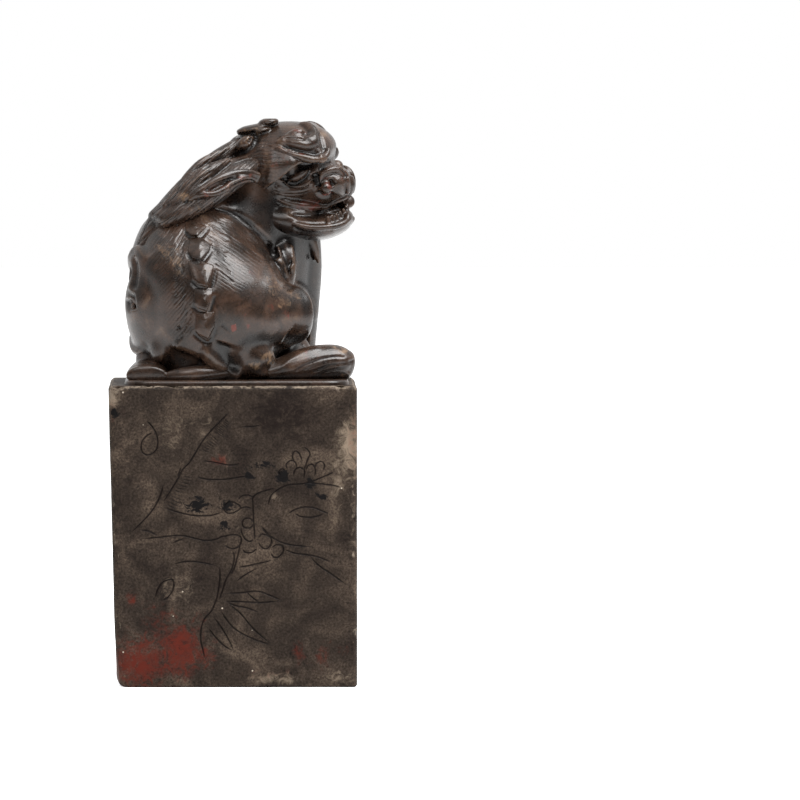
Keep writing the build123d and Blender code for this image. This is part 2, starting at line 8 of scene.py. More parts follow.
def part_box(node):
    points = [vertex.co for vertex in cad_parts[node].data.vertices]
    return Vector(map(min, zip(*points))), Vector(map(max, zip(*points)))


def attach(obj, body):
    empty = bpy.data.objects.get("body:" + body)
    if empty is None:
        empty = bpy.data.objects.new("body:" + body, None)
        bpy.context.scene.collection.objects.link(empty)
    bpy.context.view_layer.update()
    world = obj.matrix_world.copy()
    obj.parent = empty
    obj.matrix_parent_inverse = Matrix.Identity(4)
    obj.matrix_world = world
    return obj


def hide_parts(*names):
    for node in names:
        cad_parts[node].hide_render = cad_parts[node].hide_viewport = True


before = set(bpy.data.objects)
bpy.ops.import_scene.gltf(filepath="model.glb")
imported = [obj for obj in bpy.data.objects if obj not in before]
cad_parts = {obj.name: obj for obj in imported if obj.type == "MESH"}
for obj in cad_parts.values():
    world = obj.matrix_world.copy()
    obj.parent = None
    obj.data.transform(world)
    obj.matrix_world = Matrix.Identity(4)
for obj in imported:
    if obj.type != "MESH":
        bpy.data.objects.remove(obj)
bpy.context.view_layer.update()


# Camera
# A long lens level with the beast's chin, so that the block's front shows no side face, as in the photograph.
# The seal stands left of the middle of the picture.
bpy.ops.object.camera_add(location=(0, -2.5, 0.1625))
camera = bpy.context.object
camera.rotation_euler = (Vector((0.0407, 0, 0.068)) - camera.location).to_track_quat("-Z", "Y").to_euler()
camera.data.sensor_width = 36
camera.data.lens = 463.1
camera.data.clip_end = 30
bpy.context.scene.camera = camera
bpy.context.scene.view_settings.view_transform = "Standard"


# Seal block
# A square prism sawn from dark veined soapstone, ground flat by hand and cut with a graver on all four sides.
# Its underside, the seal face, still holds traces of red seal paste.
BLOCK_HALF = 30.0
BLOCK_H = 72.5
BLOCK_LEAN = 1.9            # the left side leans in towards the seal face
BLOCK_ROUND = 1.6
FOOT_BEVEL = 0.45
TOP_BEVEL = 0.9
LINE_HALF = 0.30            # half the width of a graver cut
LINE_DEPTH = 0.26
GRIND_WAVE = 0.10           # how unevenly the sides were ground
CHIP_DEPTH = 0.75
WORN_X, WORN_ROUND = -25.4, 2.7     # the lower left arris, worn round
FACE_UNIT = 0.0505          # the unit of the drawing on the front
SIDE_SHRINK = 0.94          # the drawings on the other sides against the front's
BATCH, CUT_CLEAR = 400, 0.45        # points looked at in one go, and how far free points stay from a cut
LID_STEP = 2.2              # between free points of the top and the seal face

# The graver's drawing on the front, counted from 3 mm left of and 3.8 mm above the face's top left corner:
# a banana leaf with its ribs, a blossom branch, petals, seed pods, twigs and bamboo leaves
FRONT_CUTS = [
    [(240, 238), (262, 262), (285, 300), (292, 340), (285, 375), (262, 398), (235, 402), (215, 385), (212, 355),
     (222, 330), (245, 308), (265, 300)],
    [(635, 200), (590, 245), (545, 290), (505, 340), (470, 395), (440, 440), (410, 470), (385, 515), (350, 570),
     (310, 630)],
    [(315, 540), (300, 590), (270, 650), (220, 710), (150, 775)],
    [(404, 458), (392, 482), (384, 512)],
    [(470, 505), (520, 518), (600, 520), (660, 512), (735, 500)],
    [(500, 430), (560, 438), (640, 452), (690, 440)],
    [(300, 650), (400, 680), (470, 692), (545, 690), (600, 672)],
    [(690, 268), (740, 268), (790, 262)],
    [(815, 650), (830, 600), (865, 568), (920, 545), (985, 540), (1040, 525), (1100, 500), (1140, 480)],
    [(990, 535), (1060, 540), (1130, 548), (1170, 560)],
    [(745, 645), (742, 612), (760, 590), (800, 575), (850, 560)],
    [(742, 612), (745, 680), (748, 760), (752, 820)],
    [(912, 475), (905, 450), (925, 430), (950, 440), (955, 470)],
    [(950, 445), (935, 410), (948, 385), (970, 400), (983, 440)],
    [(985, 490), (1000, 450), (1010, 420), (1020, 400), (1010, 380), (990, 365)],
    [(1000, 480), (1010, 455), (1032, 448), (1045, 475), (1040, 510)],
    [(1045, 470), (1050, 445), (1075, 435), (1090, 455), (1078, 480)],
    [(940, 505), (945, 478), (968, 462), (992, 478), (990, 512)],
    [(905, 480), (885, 470), (870, 485), (880, 505)],
    [(600, 655), (620, 630), (650, 628), (685, 652), (655, 676), (620, 680), (600, 660)],
    [(670, 618), (690, 600), (722, 594), (745, 610)],
    [(665, 672), (690, 655), (720, 652), (740, 662)],
    [(744, 728), (736, 746), (717, 752), (698, 746), (690, 728), (698, 711), (717, 704), (736, 711), (744, 728)],
    [(600, 800), (618, 787), (645, 783), (672, 786), (686, 803), (680, 828), (660, 846), (632, 848), (600, 830)],
    [(684, 745), (690, 780), (706, 806), (728, 815), (748, 800)],
    [(770, 800), (782, 782), (806, 784), (830, 802), (828, 830), (808, 850), (782, 842), (766, 815)],
    [(830, 850), (852, 832), (884, 836), (888, 860), (866, 888), (842, 890), (826, 868)],
    [(780, 740), (800, 762), (828, 792)],
    [(690, 850), (706, 868), (738, 866), (764, 846)],
    [(912, 686), (940, 666), (990, 652), (1040, 656), (1085, 674), (1112, 682)],
    [(940, 678), (970, 695), (1010, 700), (1050, 696), (1090, 680)],
    [(775, 745), (820, 785), (870, 815), (930, 832), (1045, 842)],
    [(885, 850), (940, 870), (1010, 880), (1060, 890), (1130, 918)],
    [(1010, 880), (1060, 930), (1120, 970), (1205, 1030)],
    [(195, 760), (240, 766), (290, 795)],
    [(200, 803), (290, 795), (350, 788), (410, 788), (460, 800), (510, 810), (560, 805), (600, 790), (640, 786)],
    [(350, 825), (380, 810), (415, 800)],
    [(355, 925), (400, 912), (450, 910), (510, 918), (560, 930)],
    [(260, 1090), (275, 1045), (300, 1010), (345, 995), (355, 1020), (345, 1055), (320, 1085), (298, 1095)],
    [(575, 930), (580, 970), (572, 1040), (560, 1090), (535, 1145), (500, 1185), (485, 1225), (480, 1280),
     (490, 1330), (500, 1375)],
    [(640, 852), (650, 890), (640, 940), (620, 975), (602, 1010), (590, 1050), (572, 1095)],
    [(682, 812), (672, 860), (660, 910), (645, 950), (625, 978)],
    [(665, 940), (720, 930), (790, 915), (835, 905)],
    [(655, 1010), (700, 975), (770, 938)],
    [(600, 1062), (680, 1060), (760, 1052), (820, 1072), (885, 1098)],
    [(590, 1100), (680, 1102), (780, 1106), (885, 1098)],
    [(605, 1100), (650, 1120), (710, 1132), (768, 1155)],
    [(620, 1112), (680, 1162), (740, 1232), (832, 1312)],
    [(832, 1312), (745, 1282), (660, 1240), (610, 1190), (580, 1140)],
    [(545, 1175), (580, 1222), (618, 1285), (642, 1340)],
    [(642, 1340), (590, 1308), (545, 1262), (518, 1222)],
    [(700, 1050), (745, 1090), (770, 1102)],
]
# Ribs of the banana leaf: the first and last rib of each fan, and how many it has
LEAF_FANS = [
    ((606, 226), (650, 262), (553, 282), (628, 330), 9),
    ((540, 300), (600, 352), (490, 368), (560, 402), 7),
    ((398, 500), (474, 514), (306, 646), (402, 690), 12),
]
# How many of the front's lines each other side leaves out
SIDE_CUTS = {"right": 5, "back": 0, "left": 8}


def run(points, steps):
    """Rows on a smooth curve through the given rows."""
    rows = np.array(points, float)
    smooth = []
    for index in range(len(rows) - 1):
        a, b = rows[max(index - 1, 0)], rows[index]
        c, d = rows[index + 1], rows[min(index + 2, len(rows) - 1)]
        for step in range(steps):
            s = step / steps
            smooth.append(b + 0.5 * (c - a) * s + (a - 2.5 * b + 2 * c - 0.5 * d) * s**2
                          + (1.5 * b - 0.5 * a - 1.5 * c + 0.5 * d) * s**3)
    smooth.append(rows[-1])
    return np.array(smooth)


def on_face(point):
    """From the drawing's units to millimetres across and up the front face."""
    return np.array([point[0] * FACE_UNIT - 33.0, 76.3 - point[1] * FACE_UNIT])


front_lines = [(run([on_face(p) for p in cut], 5), 1.0) for cut in FRONT_CUTS]
for first_root, first_tip, last_root, last_tip, count in LEAF_FANS:
    for number in range(count):
        share = number / (count - 1)
        root = on_face(first_root) * (1 - share) + on_face(last_root) * share
        tip = on_face(first_tip) * (1 - share) + on_face(last_tip) * share
        tip = root + (tip - root) * (0.82 + 0.18 * math.sin(7.3 * number))
        front_lines.append((run([root, (root + tip) / 2 + [0, -0.1], tip], 4), 0.62))
flat = BLOCK_HALF - BLOCK_ROUND
corner_run = BLOCK_ROUND * math.pi / 2
side_run = 2 * flat + corner_run
cuts = [(line + [flat, 0], wide) for line, wide in front_lines]
for number, (side, skip) in enumerate(SIDE_CUTS.items(), 1):
    for line, wide in front_lines[skip:]:
        turned = line.copy()
        if side != "back":
            turned[:, 0] = -turned[:, 0]
        if side == "left":
            turned[:, 1] = BLOCK_H - turned[:, 1]
        cuts.append((turned * SIDE_SHRINK + [flat + number * side_run, 2.2], wide))
around = 4 * side_run


def wall_point(u, v):
    """A place on the block's wall, its outward direction, and how near it is to an edge."""
    side, along = divmod(u, side_run)
    side = int(side) % 4
    inset = 0.0
    if v < FOOT_BEVEL:
        inset = FOOT_BEVEL - v
    elif v > BLOCK_H - TOP_BEVEL:
        inset = TOP_BEVEL * (1 - math.cos((v - BLOCK_H + TOP_BEVEL) / TOP_BEVEL * math.pi / 2))
    if along <= 2 * flat:
        local, out = Vector((along - flat, -BLOCK_HALF)), Vector((0, -1))
        to_edge = min(along, 2 * flat - along) + 0.6
    else:
        angle = (along - 2 * flat) / BLOCK_ROUND
        out = Vector((math.sin(angle), -math.cos(angle)))
        local, to_edge = Vector((flat, -flat)) + out * BLOCK_ROUND, 0.0
    local -= out * inset
    turn = Matrix.Rotation(side * math.pi / 2, 2)
    local, out = turn @ local, turn @ out
    lean = BLOCK_LEAN * (1 - v / BLOCK_H)
    across = lean / 2 + local.x * (1 - lean / (2 * BLOCK_HALF))
    return Vector((across, local.y, v)), Vector((out.x, out.y, 0)), min(to_edge, v, BLOCK_H - v)


def row_of(step):
    """Places along the wall's full length, closer on the round corners."""
    places = []
    for side in range(4):
        count = max(2, round(2 * flat / step))
        places += [side * side_run + 2 * flat * k / count for k in range(count)]
        places += [side * side_run + 2 * flat + corner_run * k / 4 for k in range(4)]
    return places + [around]


# Free points over the unrolled wall, in rows that lie closer at its lower and upper edges
levels = [0, 0.2, 0.45, 0.9, 1.5, 2.3]
levels += [2.3 + (BLOCK_H - 4.2) * k / 44 for k in range(1, 44)]
levels += [BLOCK_H - down for down in (1.9, 1.35, 0.9, 0.6, 0.32, 0.1, 0)]
plan, joins = [], []
for index, level in enumerate(levels):
    edge_row = index < 5 or index > len(levels) - 7
    row = row_of(0.75 if edge_row else 1.5)
    if index in (0, len(levels) - 1):
        row = row_of(0.75)
        joins += [(len(plan) + k, len(plan) + k + 1) for k in range(len(row) - 1)]
    plan += [(place, level) for place in row]
plan = np.array(plan)
# Free points near a cut are left out, because the cut brings its own middle and banks
line_points = np.vstack([line for line, wide in cuts])
keep = np.ones(len(plan), bool)
for start in range(0, len(plan), BATCH):
    part = plan[start:start + BATCH]
    near = ((part[:, None, :] - line_points[None, :, :]) ** 2).sum(2).min(1) < CUT_CLEAR**2
    inner = ((part > 0.01) & (part < [around - 0.01, BLOCK_H - 0.01])).all(1)
    keep[start:start + BATCH] = ~(near & inner)
renumber = np.cumsum(keep) - 1
joins = [(int(renumber[a]), int(renumber[b])) for a, b in joins]
plan = [tuple(p) for p in plan[keep]]
for line, wide in cuts:
    lean_to = np.gradient(line, axis=0)
    lean_to /= np.linalg.norm(lean_to, axis=1)[:, None] + 1e-9
    beside = np.stack([-lean_to[:, 1], lean_to[:, 0]], 1)
    ease = np.minimum(1, np.minimum(np.arange(len(line)), np.arange(len(line))[::-1]) / 3)
    reach = (LINE_HALF * wide * ease)[:, None]
    first = len(plan)
    plan += [tuple(p) for p in line]
    joins += [(first + k, first + k + 1) for k in range(len(line) - 1)]
    for bank in (line + beside * reach, line - beside * reach):
        second = len(plan)
        plan += [tuple(p) for p in bank[1:-1]]
        chain = [first] + list(range(second, second + len(line) - 2)) + [first + len(line) - 1]
        joins += list(zip(chain, chain[1:]))


def from_line(flat_points, line):
    """Distance from a drawn line, which side of it, and how far along it, for many points."""
    a, b = line[:-1], line[1:]
    run_to = b - a
    gap = flat_points[:, None, :] - a[None]
    share = np.clip((gap * run_to).sum(2) / ((run_to**2).sum(1) + 1e-12), 0, 1)
    away = np.sqrt(((gap - share[:, :, None] * run_to[None]) ** 2).sum(2))
    nearest = away.argmin(1)
    rows = np.arange(len(flat_points))
    chosen, step = gap[rows, nearest], run_to[nearest]
    side = np.sign(step[:, 0] * chosen[:, 1] - step[:, 1] * chosen[:, 0])
    return away[rows, nearest], side, (nearest + share[rows, nearest]) / (len(line) - 1)


# One net of triangles through all points, with the cuts along its edges, and how deep the graver went at each
net = geometry.delaunay_2d_cdt([Vector(p) for p in plan], joins, [], 0, 1e-5, False)
net_plan = np.array([tuple(p) for p in net[0]])
cut_depth = np.zeros(len(net_plan))
for line, wide in cuts:
    low, high = line.min(0) - 0.5, line.max(0) + 0.5
    found = np.where(((net_plan > low) & (net_plan < high)).all(1))[0]
    if not len(found):
        continue
    away, side, place = from_line(net_plan[found], line)
    place = place * (len(line) - 1)
    ease = np.minimum(1, np.minimum(place, len(line) - 1 - place) / 3)
    depth = LINE_DEPTH * wide * ease * np.clip(1 - away / (LINE_HALF * wide * np.maximum(ease, 0.05)), 0, 1)
    cut_depth[found] = np.maximum(cut_depth[found], depth)


def ripple(point, size, seed):
    """Seeded smooth noise between about -1 and 1, on features of the given size in millimetres."""
    p = np.asarray(point, float) / size
    total = np.zeros(p.shape[0])
    for k in range(6):
        lean = np.array([math.sin(seed * a + k * b) for a, b in ((12.9, 4.1), (7.7, 2.3), (3.1, 5.9))])
        lean = lean / np.linalg.norm(lean) * (1.6 + 0.5 * k)
        total += np.sin(p @ lean + 1.7 * k + seed + 1.3 * np.sin(p @ lean[[1, 2, 0]] * 0.7 + k))
    return total / 3.2


# Wrapped round the block, ground uneven, chipped along the arrises and worn at its lower left foot
wall = [wall_point(min(u, around - 1e-6), v) for u, v in net_plan]
wall_co = np.array([tuple(p) for p, out, edge in wall])
wall_out = np.array([tuple(out) for p, out, edge in wall])
edge_gap = np.array([edge for p, out, edge in wall])
chips = np.clip(ripple(wall_co, 1.7, 3) + 0.6 * ripple(wall_co, 0.9, 5) - 0.75, 0, 1.2)
chips *= np.clip(1 - edge_gap / 1.8, 0, 1) * CHIP_DEPTH
big_chip = np.exp(-(((wall_co - [-29.6, -30, 71.6]) / [2.6, 2.4, 1.9]) ** 2).sum(1)) * 0.9
foot_round = np.exp(-(((wall_co - [-28.6, -30, 0.3]) / [2.4, 6, 7]) ** 2).sum(1)) * 0.9
sunk = cut_depth + GRIND_WAVE * (0.6 + 0.5 * ripple(wall_co, 11, 1)) + chips + big_chip + foot_round
wall_co -= wall_out * sunk[:, None]
wall_co[:, 2] -= np.clip(big_chip + chips * 0.6, 0, None) * (wall_co[:, 2] > BLOCK_H - 2)
# The top and the seal face, each with free points of its own
tops = [i for i, p in enumerate(net_plan) if p[1] > BLOCK_H - 1e-4]
feet = [i for i, p in enumerate(net_plan) if p[1] < 1e-4]
block_co = [tuple(p) for p in wall_co]
block_faces = [tuple(f) for f in net[2]]
for ring, height in ((tops, BLOCK_H), (feet, 0.0)):
    ring = sorted(ring, key=lambda i: net_plan[i][0])[:-1]
    rim = [Vector(block_co[i][:2]) for i in ring]
    fill = [Vector((x, y)) for x in np.arange(-27.5, 28.4, LID_STEP) for y in np.arange(-28.6, 28.7, LID_STEP)]
    lid = geometry.delaunay_2d_cdt(rim + fill, [(k, (k + 1) % len(rim)) for k in range(len(rim))], [], 1, 1e-5, True)
    base = len(block_co)
    block_co += [(p.x, p.y, height) for p in lid[0]]
    for k, sources in enumerate(lid[3]):
        for source in sources:
            if source < len(rim):
                block_co[base + k] = block_co[ring[source]]
    block_faces += [tuple(base + i for i in face) for face in lid[2]]
block_mesh = bpy.data.meshes.new("engraved_block")
block_mesh.from_pydata([(x / 1000, y / 1000, z / 1000) for x, y, z in block_co], [], block_faces)
block = bpy.data.objects.new("engraved_block", block_mesh)
bpy.context.collection.objects.link(block)
co = np.array(block_co)
cut = np.zeros(len(co))
cut[:len(cut_depth)] = cut_depth / LINE_DEPTH
# What the eye sees on the stone besides its veins: dark clouds, seal paste, pale worn veins, and pits. A patch has its
# middle across and up, its half-width and half-height, and its strength
DARK = [(12, 66, 14, 8, 0.9), (-4, 68, 8, 5, 0.5), (3, 46, 9, 6, 0.5), (-25, 52, 5, 14, 0.5), (22, 30, 7, 9, 0.25)]
PASTE = [(-22, 6, 9, 7, 1.0), (-13, 9, 7, 8, 1.0), (-17, 17, 6, 4, 0.55), (-7, 7.5, 3, 3.5, 0.9),
    (-24.5, 21, 2, 2, 0.8), (-3, 54.5, 3, 1.4, 0.8), (16, 8.2, 1.6, 3, 0.8), (21.5, 7.2, 1.6, 3.4, 0.8),
    (29, 60, 1.2, 9, 0.6), (-26, 3, 4, 3, 0.8), (10, 3, 14, 1.6, 0.35), (26, 9, 3, 2, 0.5), (-29, 66, 1.4, 7, 0.35)]
PALE = [(28, 58, 3.6, 9, 1.0), (25, 50, 3, 7, 0.7), (29, 40, 1.6, 10, 0.5), (-14, 62, 6, 9, 0.42),
    (-6, 62, 4, 6, 0.45), (-13, 24, 5, 6, 0.55), (-17, 47, 3, 4, 0.3), (11, 2, 9, 1.8, 0.8), (26, 2.5, 5, 2, 0.7),
    (-16, 2, 4, 1.4, 0.5), (10, 46, 2.2, 1.5, 0.8), (-29.3, 70, 2.4, 3, 1.0), (2, 38, 4, 3, 0.3),
    (-1, 54.5, 3.6, 2, 0.5)]
PITS = [(-8.6, 44, 2.8, 1.9, 1.0), (-2, 39, 1.6, 1.4, 0.9), (-1, 43.5, 2.2, 1.6, 0.8), (4, 51, 1.4, 1.2, 1.0),
    (7, 53.4, 1.6, 1.1, 1.0), (9.6, 53.8, 0.9, 0.8, 1.0), (12, 50.6, 1.6, 1.5, 1.0), (18.6, 49, 1.7, 1.5, 1.0),
    (21.7, 45.8, 1.2, 1.1, 1.0), (16, 46.2, 1.0, 0.8, 0.7), (-22.5, 47.6, 1.3, 1.6, 0.8), (-28.4, 66, 1.0, 1.2, 0.9),
    (-4, 47, 1.6, 1.2, 0.7), (10, 57, 2.4, 1.6, 0.35)]


def patches(points, table, front_only):
    """How strongly a table's patches show at each point, on the front or on the other sides."""
    total = np.zeros(len(points))
    for x, z, wide, high, strength in table:
        if front_only:
            hit = ((points[:, 0] - x) / wide) ** 2 + ((points[:, 2] - z) / high) ** 2
            hit = hit + np.clip(points[:, 1] + 28.5, 0, None) ** 2 / 4
        else:
            across = np.where(np.abs(points[:, 1]) > np.abs(points[:, 0]), -points[:, 0], points[:, 1])
            hit = ((across - x) / (wide * 1.3)) ** 2 + ((points[:, 2] - z) / (high * 1.2)) ** 2
            hit = hit + np.clip(-27 - points[:, 1], 0, None) * 4
        total = np.maximum(total, strength * np.exp(-hit * 0.9))
    return total


def keep_on(mesh, name, values):
    """Stores a value for each point of the mesh, for its material to read."""
    layer = mesh.attributes.new(name, "FLOAT", "POINT")
    layer.data.foreach_set("value", np.asarray(values, np.float32))


co = np.clip(co, [-BLOCK_HALF, -BLOCK_HALF, 0], [BLOCK_HALF, BLOCK_HALF, BLOCK_H])
gap = co[:, [0, 2]] - [WORN_X, WORN_ROUND]
far = np.maximum(np.linalg.norm(gap, axis=1), 0.01)
corner = (gap < 0).all(1) & (far > WORN_ROUND)
co[corner, 0] = (WORN_X + gap[:, 0] * WORN_ROUND / far)[corner]
co[corner, 2] = (WORN_ROUND + gap[:, 1] * WORN_ROUND / far)[corner]
block_mesh.vertices.foreach_set("co", (co / 1000).ravel())
keep_on(block_mesh, "cut", np.clip(cut, 0, 1))
keep_on(block_mesh, "dark", np.maximum(patches(co, DARK, True), patches(co, DARK, False)))
keep_on(block_mesh, "paste", np.maximum(patches(co, PASTE, True), patches(co, PASTE[:4], False))
        + 0.75 * (co[:, 2] < 0.05))
edge_wear = np.zeros(len(co))
edge_wear[:len(edge_gap)] = np.clip(1 - edge_gap / 0.9, 0, 1) * 0.5 + np.clip((chips + big_chip) * 2, 0, 1)
edge_wear += 0.55 * np.clip((co[:, 2] - (BLOCK_H - 1.4)) / 0.8, 0, 1)
keep_on(block_mesh, "pale", np.clip(np.maximum(patches(co, PALE, True), patches(co, PALE[:6], False)), 0, 1))
keep_on(block_mesh, "edge", np.clip(edge_wear, 0, 1))
keep_on(block_mesh, "pit", np.maximum(patches(co, PITS, True), patches(co, PITS, False)))


def take(piece):
    """Makes a piece the only one chosen, for the operators that follow."""
    bpy.ops.object.select_all(action="DESELECT")
    piece.select_set(True)
    bpy.context.view_layer.objects.active = piece


take(block)
bpy.ops.object.mode_set(mode="EDIT")
bpy.ops.mesh.select_all(action="SELECT")
bpy.ops.mesh.remove_doubles(threshold=0.000002)
bpy.ops.mesh.normals_make_consistent(inside=False)
bpy.ops.object.mode_set(mode="OBJECT")
bpy.ops.object.shade_smooth_by_angle(angle=math.radians(28))


def colour(code):
    """sRGB hex to linear."""
    parts = [int(code[i:i + 2], 16) / 255 for i in (1, 3, 5)]
    return tuple(c / 12.92 if c <= 0.04045 else ((c + 0.055) / 1.055) ** 2.4 for c in parts) + (1.0,)


def blank_material(name):
    """A material with no nodes yet."""
    material = bpy.data.materials.new(name)
    material.use_nodes = True
    material.node_tree.nodes.clear()
    return material


def add_node(material, kind, inputs=None, **settings):
    """Adds a node with its settings. An input that is a socket is linked, any other value is written."""
    node = material.node_tree.nodes.new("ShaderNode" + kind)
    for key, value in settings.items():
        setattr(node, key, value)
    for key, value in (inputs or {}).items():
        if isinstance(value, bpy.types.NodeSocket):
            material.node_tree.links.new(value, node.inputs[key])
        else:
            node.inputs[key].default_value = value
    return node


# Veined soapstone, ground and rubbed: a satin grey-brown, cloudy, with pale veins and pores, and painted near black in
# the cuts
stone = blank_material("rubbed_soapstone")
place = add_node(stone, "TexCoord").outputs["Object"]
clouds, grain, veins = [
    add_node(stone, "TexNoise", {"Vector": place, "Scale": scale, "Detail": detail, "Roughness": rough,
                                 "Distortion": twist}).outputs["Fac"]
    for scale, detail, rough, twist in ((95, 10, 0.62, 0.8), (1900, 5, 0.7, 0.0), (380, 9, 0.72, 1.4))]
ramp = add_node(stone, "ValToRGB", {"Fac": clouds})
stops = ramp.color_ramp.elements
stops[0].position, stops[0].color = 0.30, colour("#1c1511")
stops[1].position, stops[1].color = 0.74, colour("#564a3f")
stops.new(0.48).color = colour("#2d251f")
stops.new(0.6).color = colour("#3e342c")
base = ramp.outputs["Color"]
fine = add_node(stone, "MapRange", {"Value": grain, "From Min": 0.34, "From Max": 0.67}).outputs["Result"]
grey = add_node(stone, "CombineColor", {0: fine, 1: fine, 2: fine}).outputs[0]
base = add_node(stone, "Mix", {0: 0.68, 6: base, 7: grey}, data_type="RGBA", blend_type="SOFT_LIGHT").outputs[2]


def over(material, base, layer, threshold, softness, noise, spread, tint):
    """Lays a tint where a stored layer, broken up by noise, passes a threshold."""
    value = add_node(material, "Attribute", attribute_name=layer).outputs["Fac"]
    rough = add_node(material, "Math", {0: noise, 1: spread, 2: value}, operation="MULTIPLY_ADD").outputs[0]
    mask = add_node(material, "MapRange", {"Value": rough, "From Min": threshold, "From Max": threshold + softness},
                    interpolation_type="SMOOTHSTEP").outputs["Result"]
    return add_node(material, "Mix", {0: mask, 6: base, 7: tint}, data_type="RGBA").outputs[2], mask


for layer, threshold, softness, spread, tint in (
        ("dark", 1.0, 0.8, 1.5, "#150e0b"), ("pale", 1.44, 0.95, 2.2, "#837464"),
        ("edge", 1.95, 0.45, 2.5, "#766a5d"), ("paste", 1.58, 0.9, 2.5, "#531e14"),
        ("pit", 1.68, 0.18, 2.5, "#0a0808")):
    base, mask = over(stone, base, layer, threshold, softness, veins, spread, colour(tint))
specks = add_node(stone, "TexVoronoi", {"Vector": place, "Scale": 420, "Randomness": 1.0}, feature="F1")
speck = add_node(stone, "MapRange", {"Value": specks.outputs["Distance"], "From Min": 0.1,
    "From Max": 0.05}).outputs["Result"]
rare = add_node(stone, "SeparateColor", {0: specks.outputs["Color"]}).outputs[0]
rare = add_node(stone, "Math", {0: rare, 1: 0.93}, operation="GREATER_THAN").outputs[0]
speck = add_node(stone, "Math", {0: speck, 1: rare}, operation="MULTIPLY").outputs[0]
base = add_node(stone, "Mix", {0: speck, 6: base, 7: colour("#bdb0a0")}, data_type="RGBA").outputs[2]
# The cuts are painted near black, most in their middles
darkening = add_node(stone, "Attribute", attribute_name="cut").outputs["Fac"]
darkening = add_node(stone, "MapRange", {"Value": darkening, "From Max": 0.8, "To Max": 0.85}).outputs["Result"]
base = add_node(stone, "Mix", {0: darkening, 6: base, 7: colour("#14100f")}, data_type="RGBA").outputs[2]
shine = add_node(stone, "MapRange", {"Value": clouds, "From Min": 0.3, "From Max": 0.7, "To Min": 0.46,
    "To Max": 0.64}).outputs["Result"]
# The last mask, that of the pits, also sinks the surface
hollow = add_node(stone, "Math", {0: mask, 1: -1.2, 2: grain}, operation="MULTIPLY_ADD").outputs[0]
bump = add_node(stone, "Bump", {"Height": hollow, "Strength": 0.35, "Distance": 0.00025}).outputs[0]
skin = add_node(stone, "BsdfPrincipled", {"Base Color": base, "Roughness": shine, "Normal": bump, "IOR": 1.54,
    "Specular IOR Level": 0.08})
add_node(stone, "OutputMaterial", {"Surface": skin.outputs[0]})
block_mesh.materials.append(stone)
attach(block, "root")
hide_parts("seal_block")


# Plinth
# The thin slab of ground left under the beast, its rim rounded and polished with it.
low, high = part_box("plinth")
middle = (low + high) / 2
bpy.ops.mesh.primitive_cube_add(size=1, location=middle)
plinth = bpy.context.object
plinth.name = "ground_slab"
plinth.scale = (high.x - low.x, high.y - low.y, high.z - low.z)
bpy.ops.object.transform_apply(location=True, rotation=True, scale=True)
for where, offset, segments in (("corners", 0.006, 8), ("top rim", 0.0008, 4)):
    bpy.ops.object.mode_set(mode="EDIT")
    bpy.ops.mesh.select_mode(type="EDGE")
    bpy.ops.mesh.select_all(action="DESELECT")
    bpy.ops.object.mode_set(mode="OBJECT")
    for edge in plinth.data.edges:
        a, b = (plinth.data.vertices[i].co for i in edge.vertices)
        edge.select = abs(a.z - b.z) > 0.0005 if where == "corners" else min(a.z, b.z) > high.z - 0.00001
    bpy.ops.object.mode_set(mode="EDIT")
    bpy.ops.mesh.bevel(offset=offset, segments=segments)
    bpy.ops.object.mode_set(mode="OBJECT")
bpy.ops.object.shade_smooth_by_angle(angle=math.radians(40))


# Beast
# One carving with the block below it: the carver's rolls and masses are put on as clay, melted into one skin,
# and then cut with the chisel and graver as the real one was.
REACH, FOOT, CROWN = 30.0, BLOCK_H, 63.3       # reach from the axis, height of its foot, and its own height
DRAWN_UNIT = 0.04478
SOLIDS_LOW, SOLIDS_HIGH = [-30, -30, 0], [30.06, 30, 136.4]     # the box that the solids fill


def spot(x, y, z):
    """A place on the beast, in shares of its reach from the axis and of its height over the block."""
    return [x * REACH, y * REACH, FOOT + z * CROWN]


def drawn(x, z):
    """From units counted from the top left of the beast's picture to millimetres across and up."""
    return -31.8 + x * DRAWN_UNIT, 139.92 - z * DRAWN_UNIT


def sized(table, half_w, half_t):
    """A roll's rows from places in shares, as spot takes them, and from shares of a half-width and half-thickness."""
    return [spot(x, y, z) + [size[0] * half_w, size[-1] * half_t] for x, y, z, *size in table]


def between(rings, sides):
    """Four-sided faces between rings of points that follow each other."""
    faces = []
    for ring in range(rings - 1):
        for side in range(sides):
            a, b = ring * sides + side, ring * sides + (side + 1) % sides
            faces.append((a, b, b + sides, a + sides))
    return faces


def closed(rings, sides):
    """The faces between rings, and fans to two tips that follow the last ring's points."""
    faces, tip, last = between(rings, sides), rings * sides, (rings - 1) * sides
    for side in range(sides):
        faces += [(tip, (side + 1) % sides, side), (tip + 1, last + side, last + (side + 1) % sides)]
    return faces


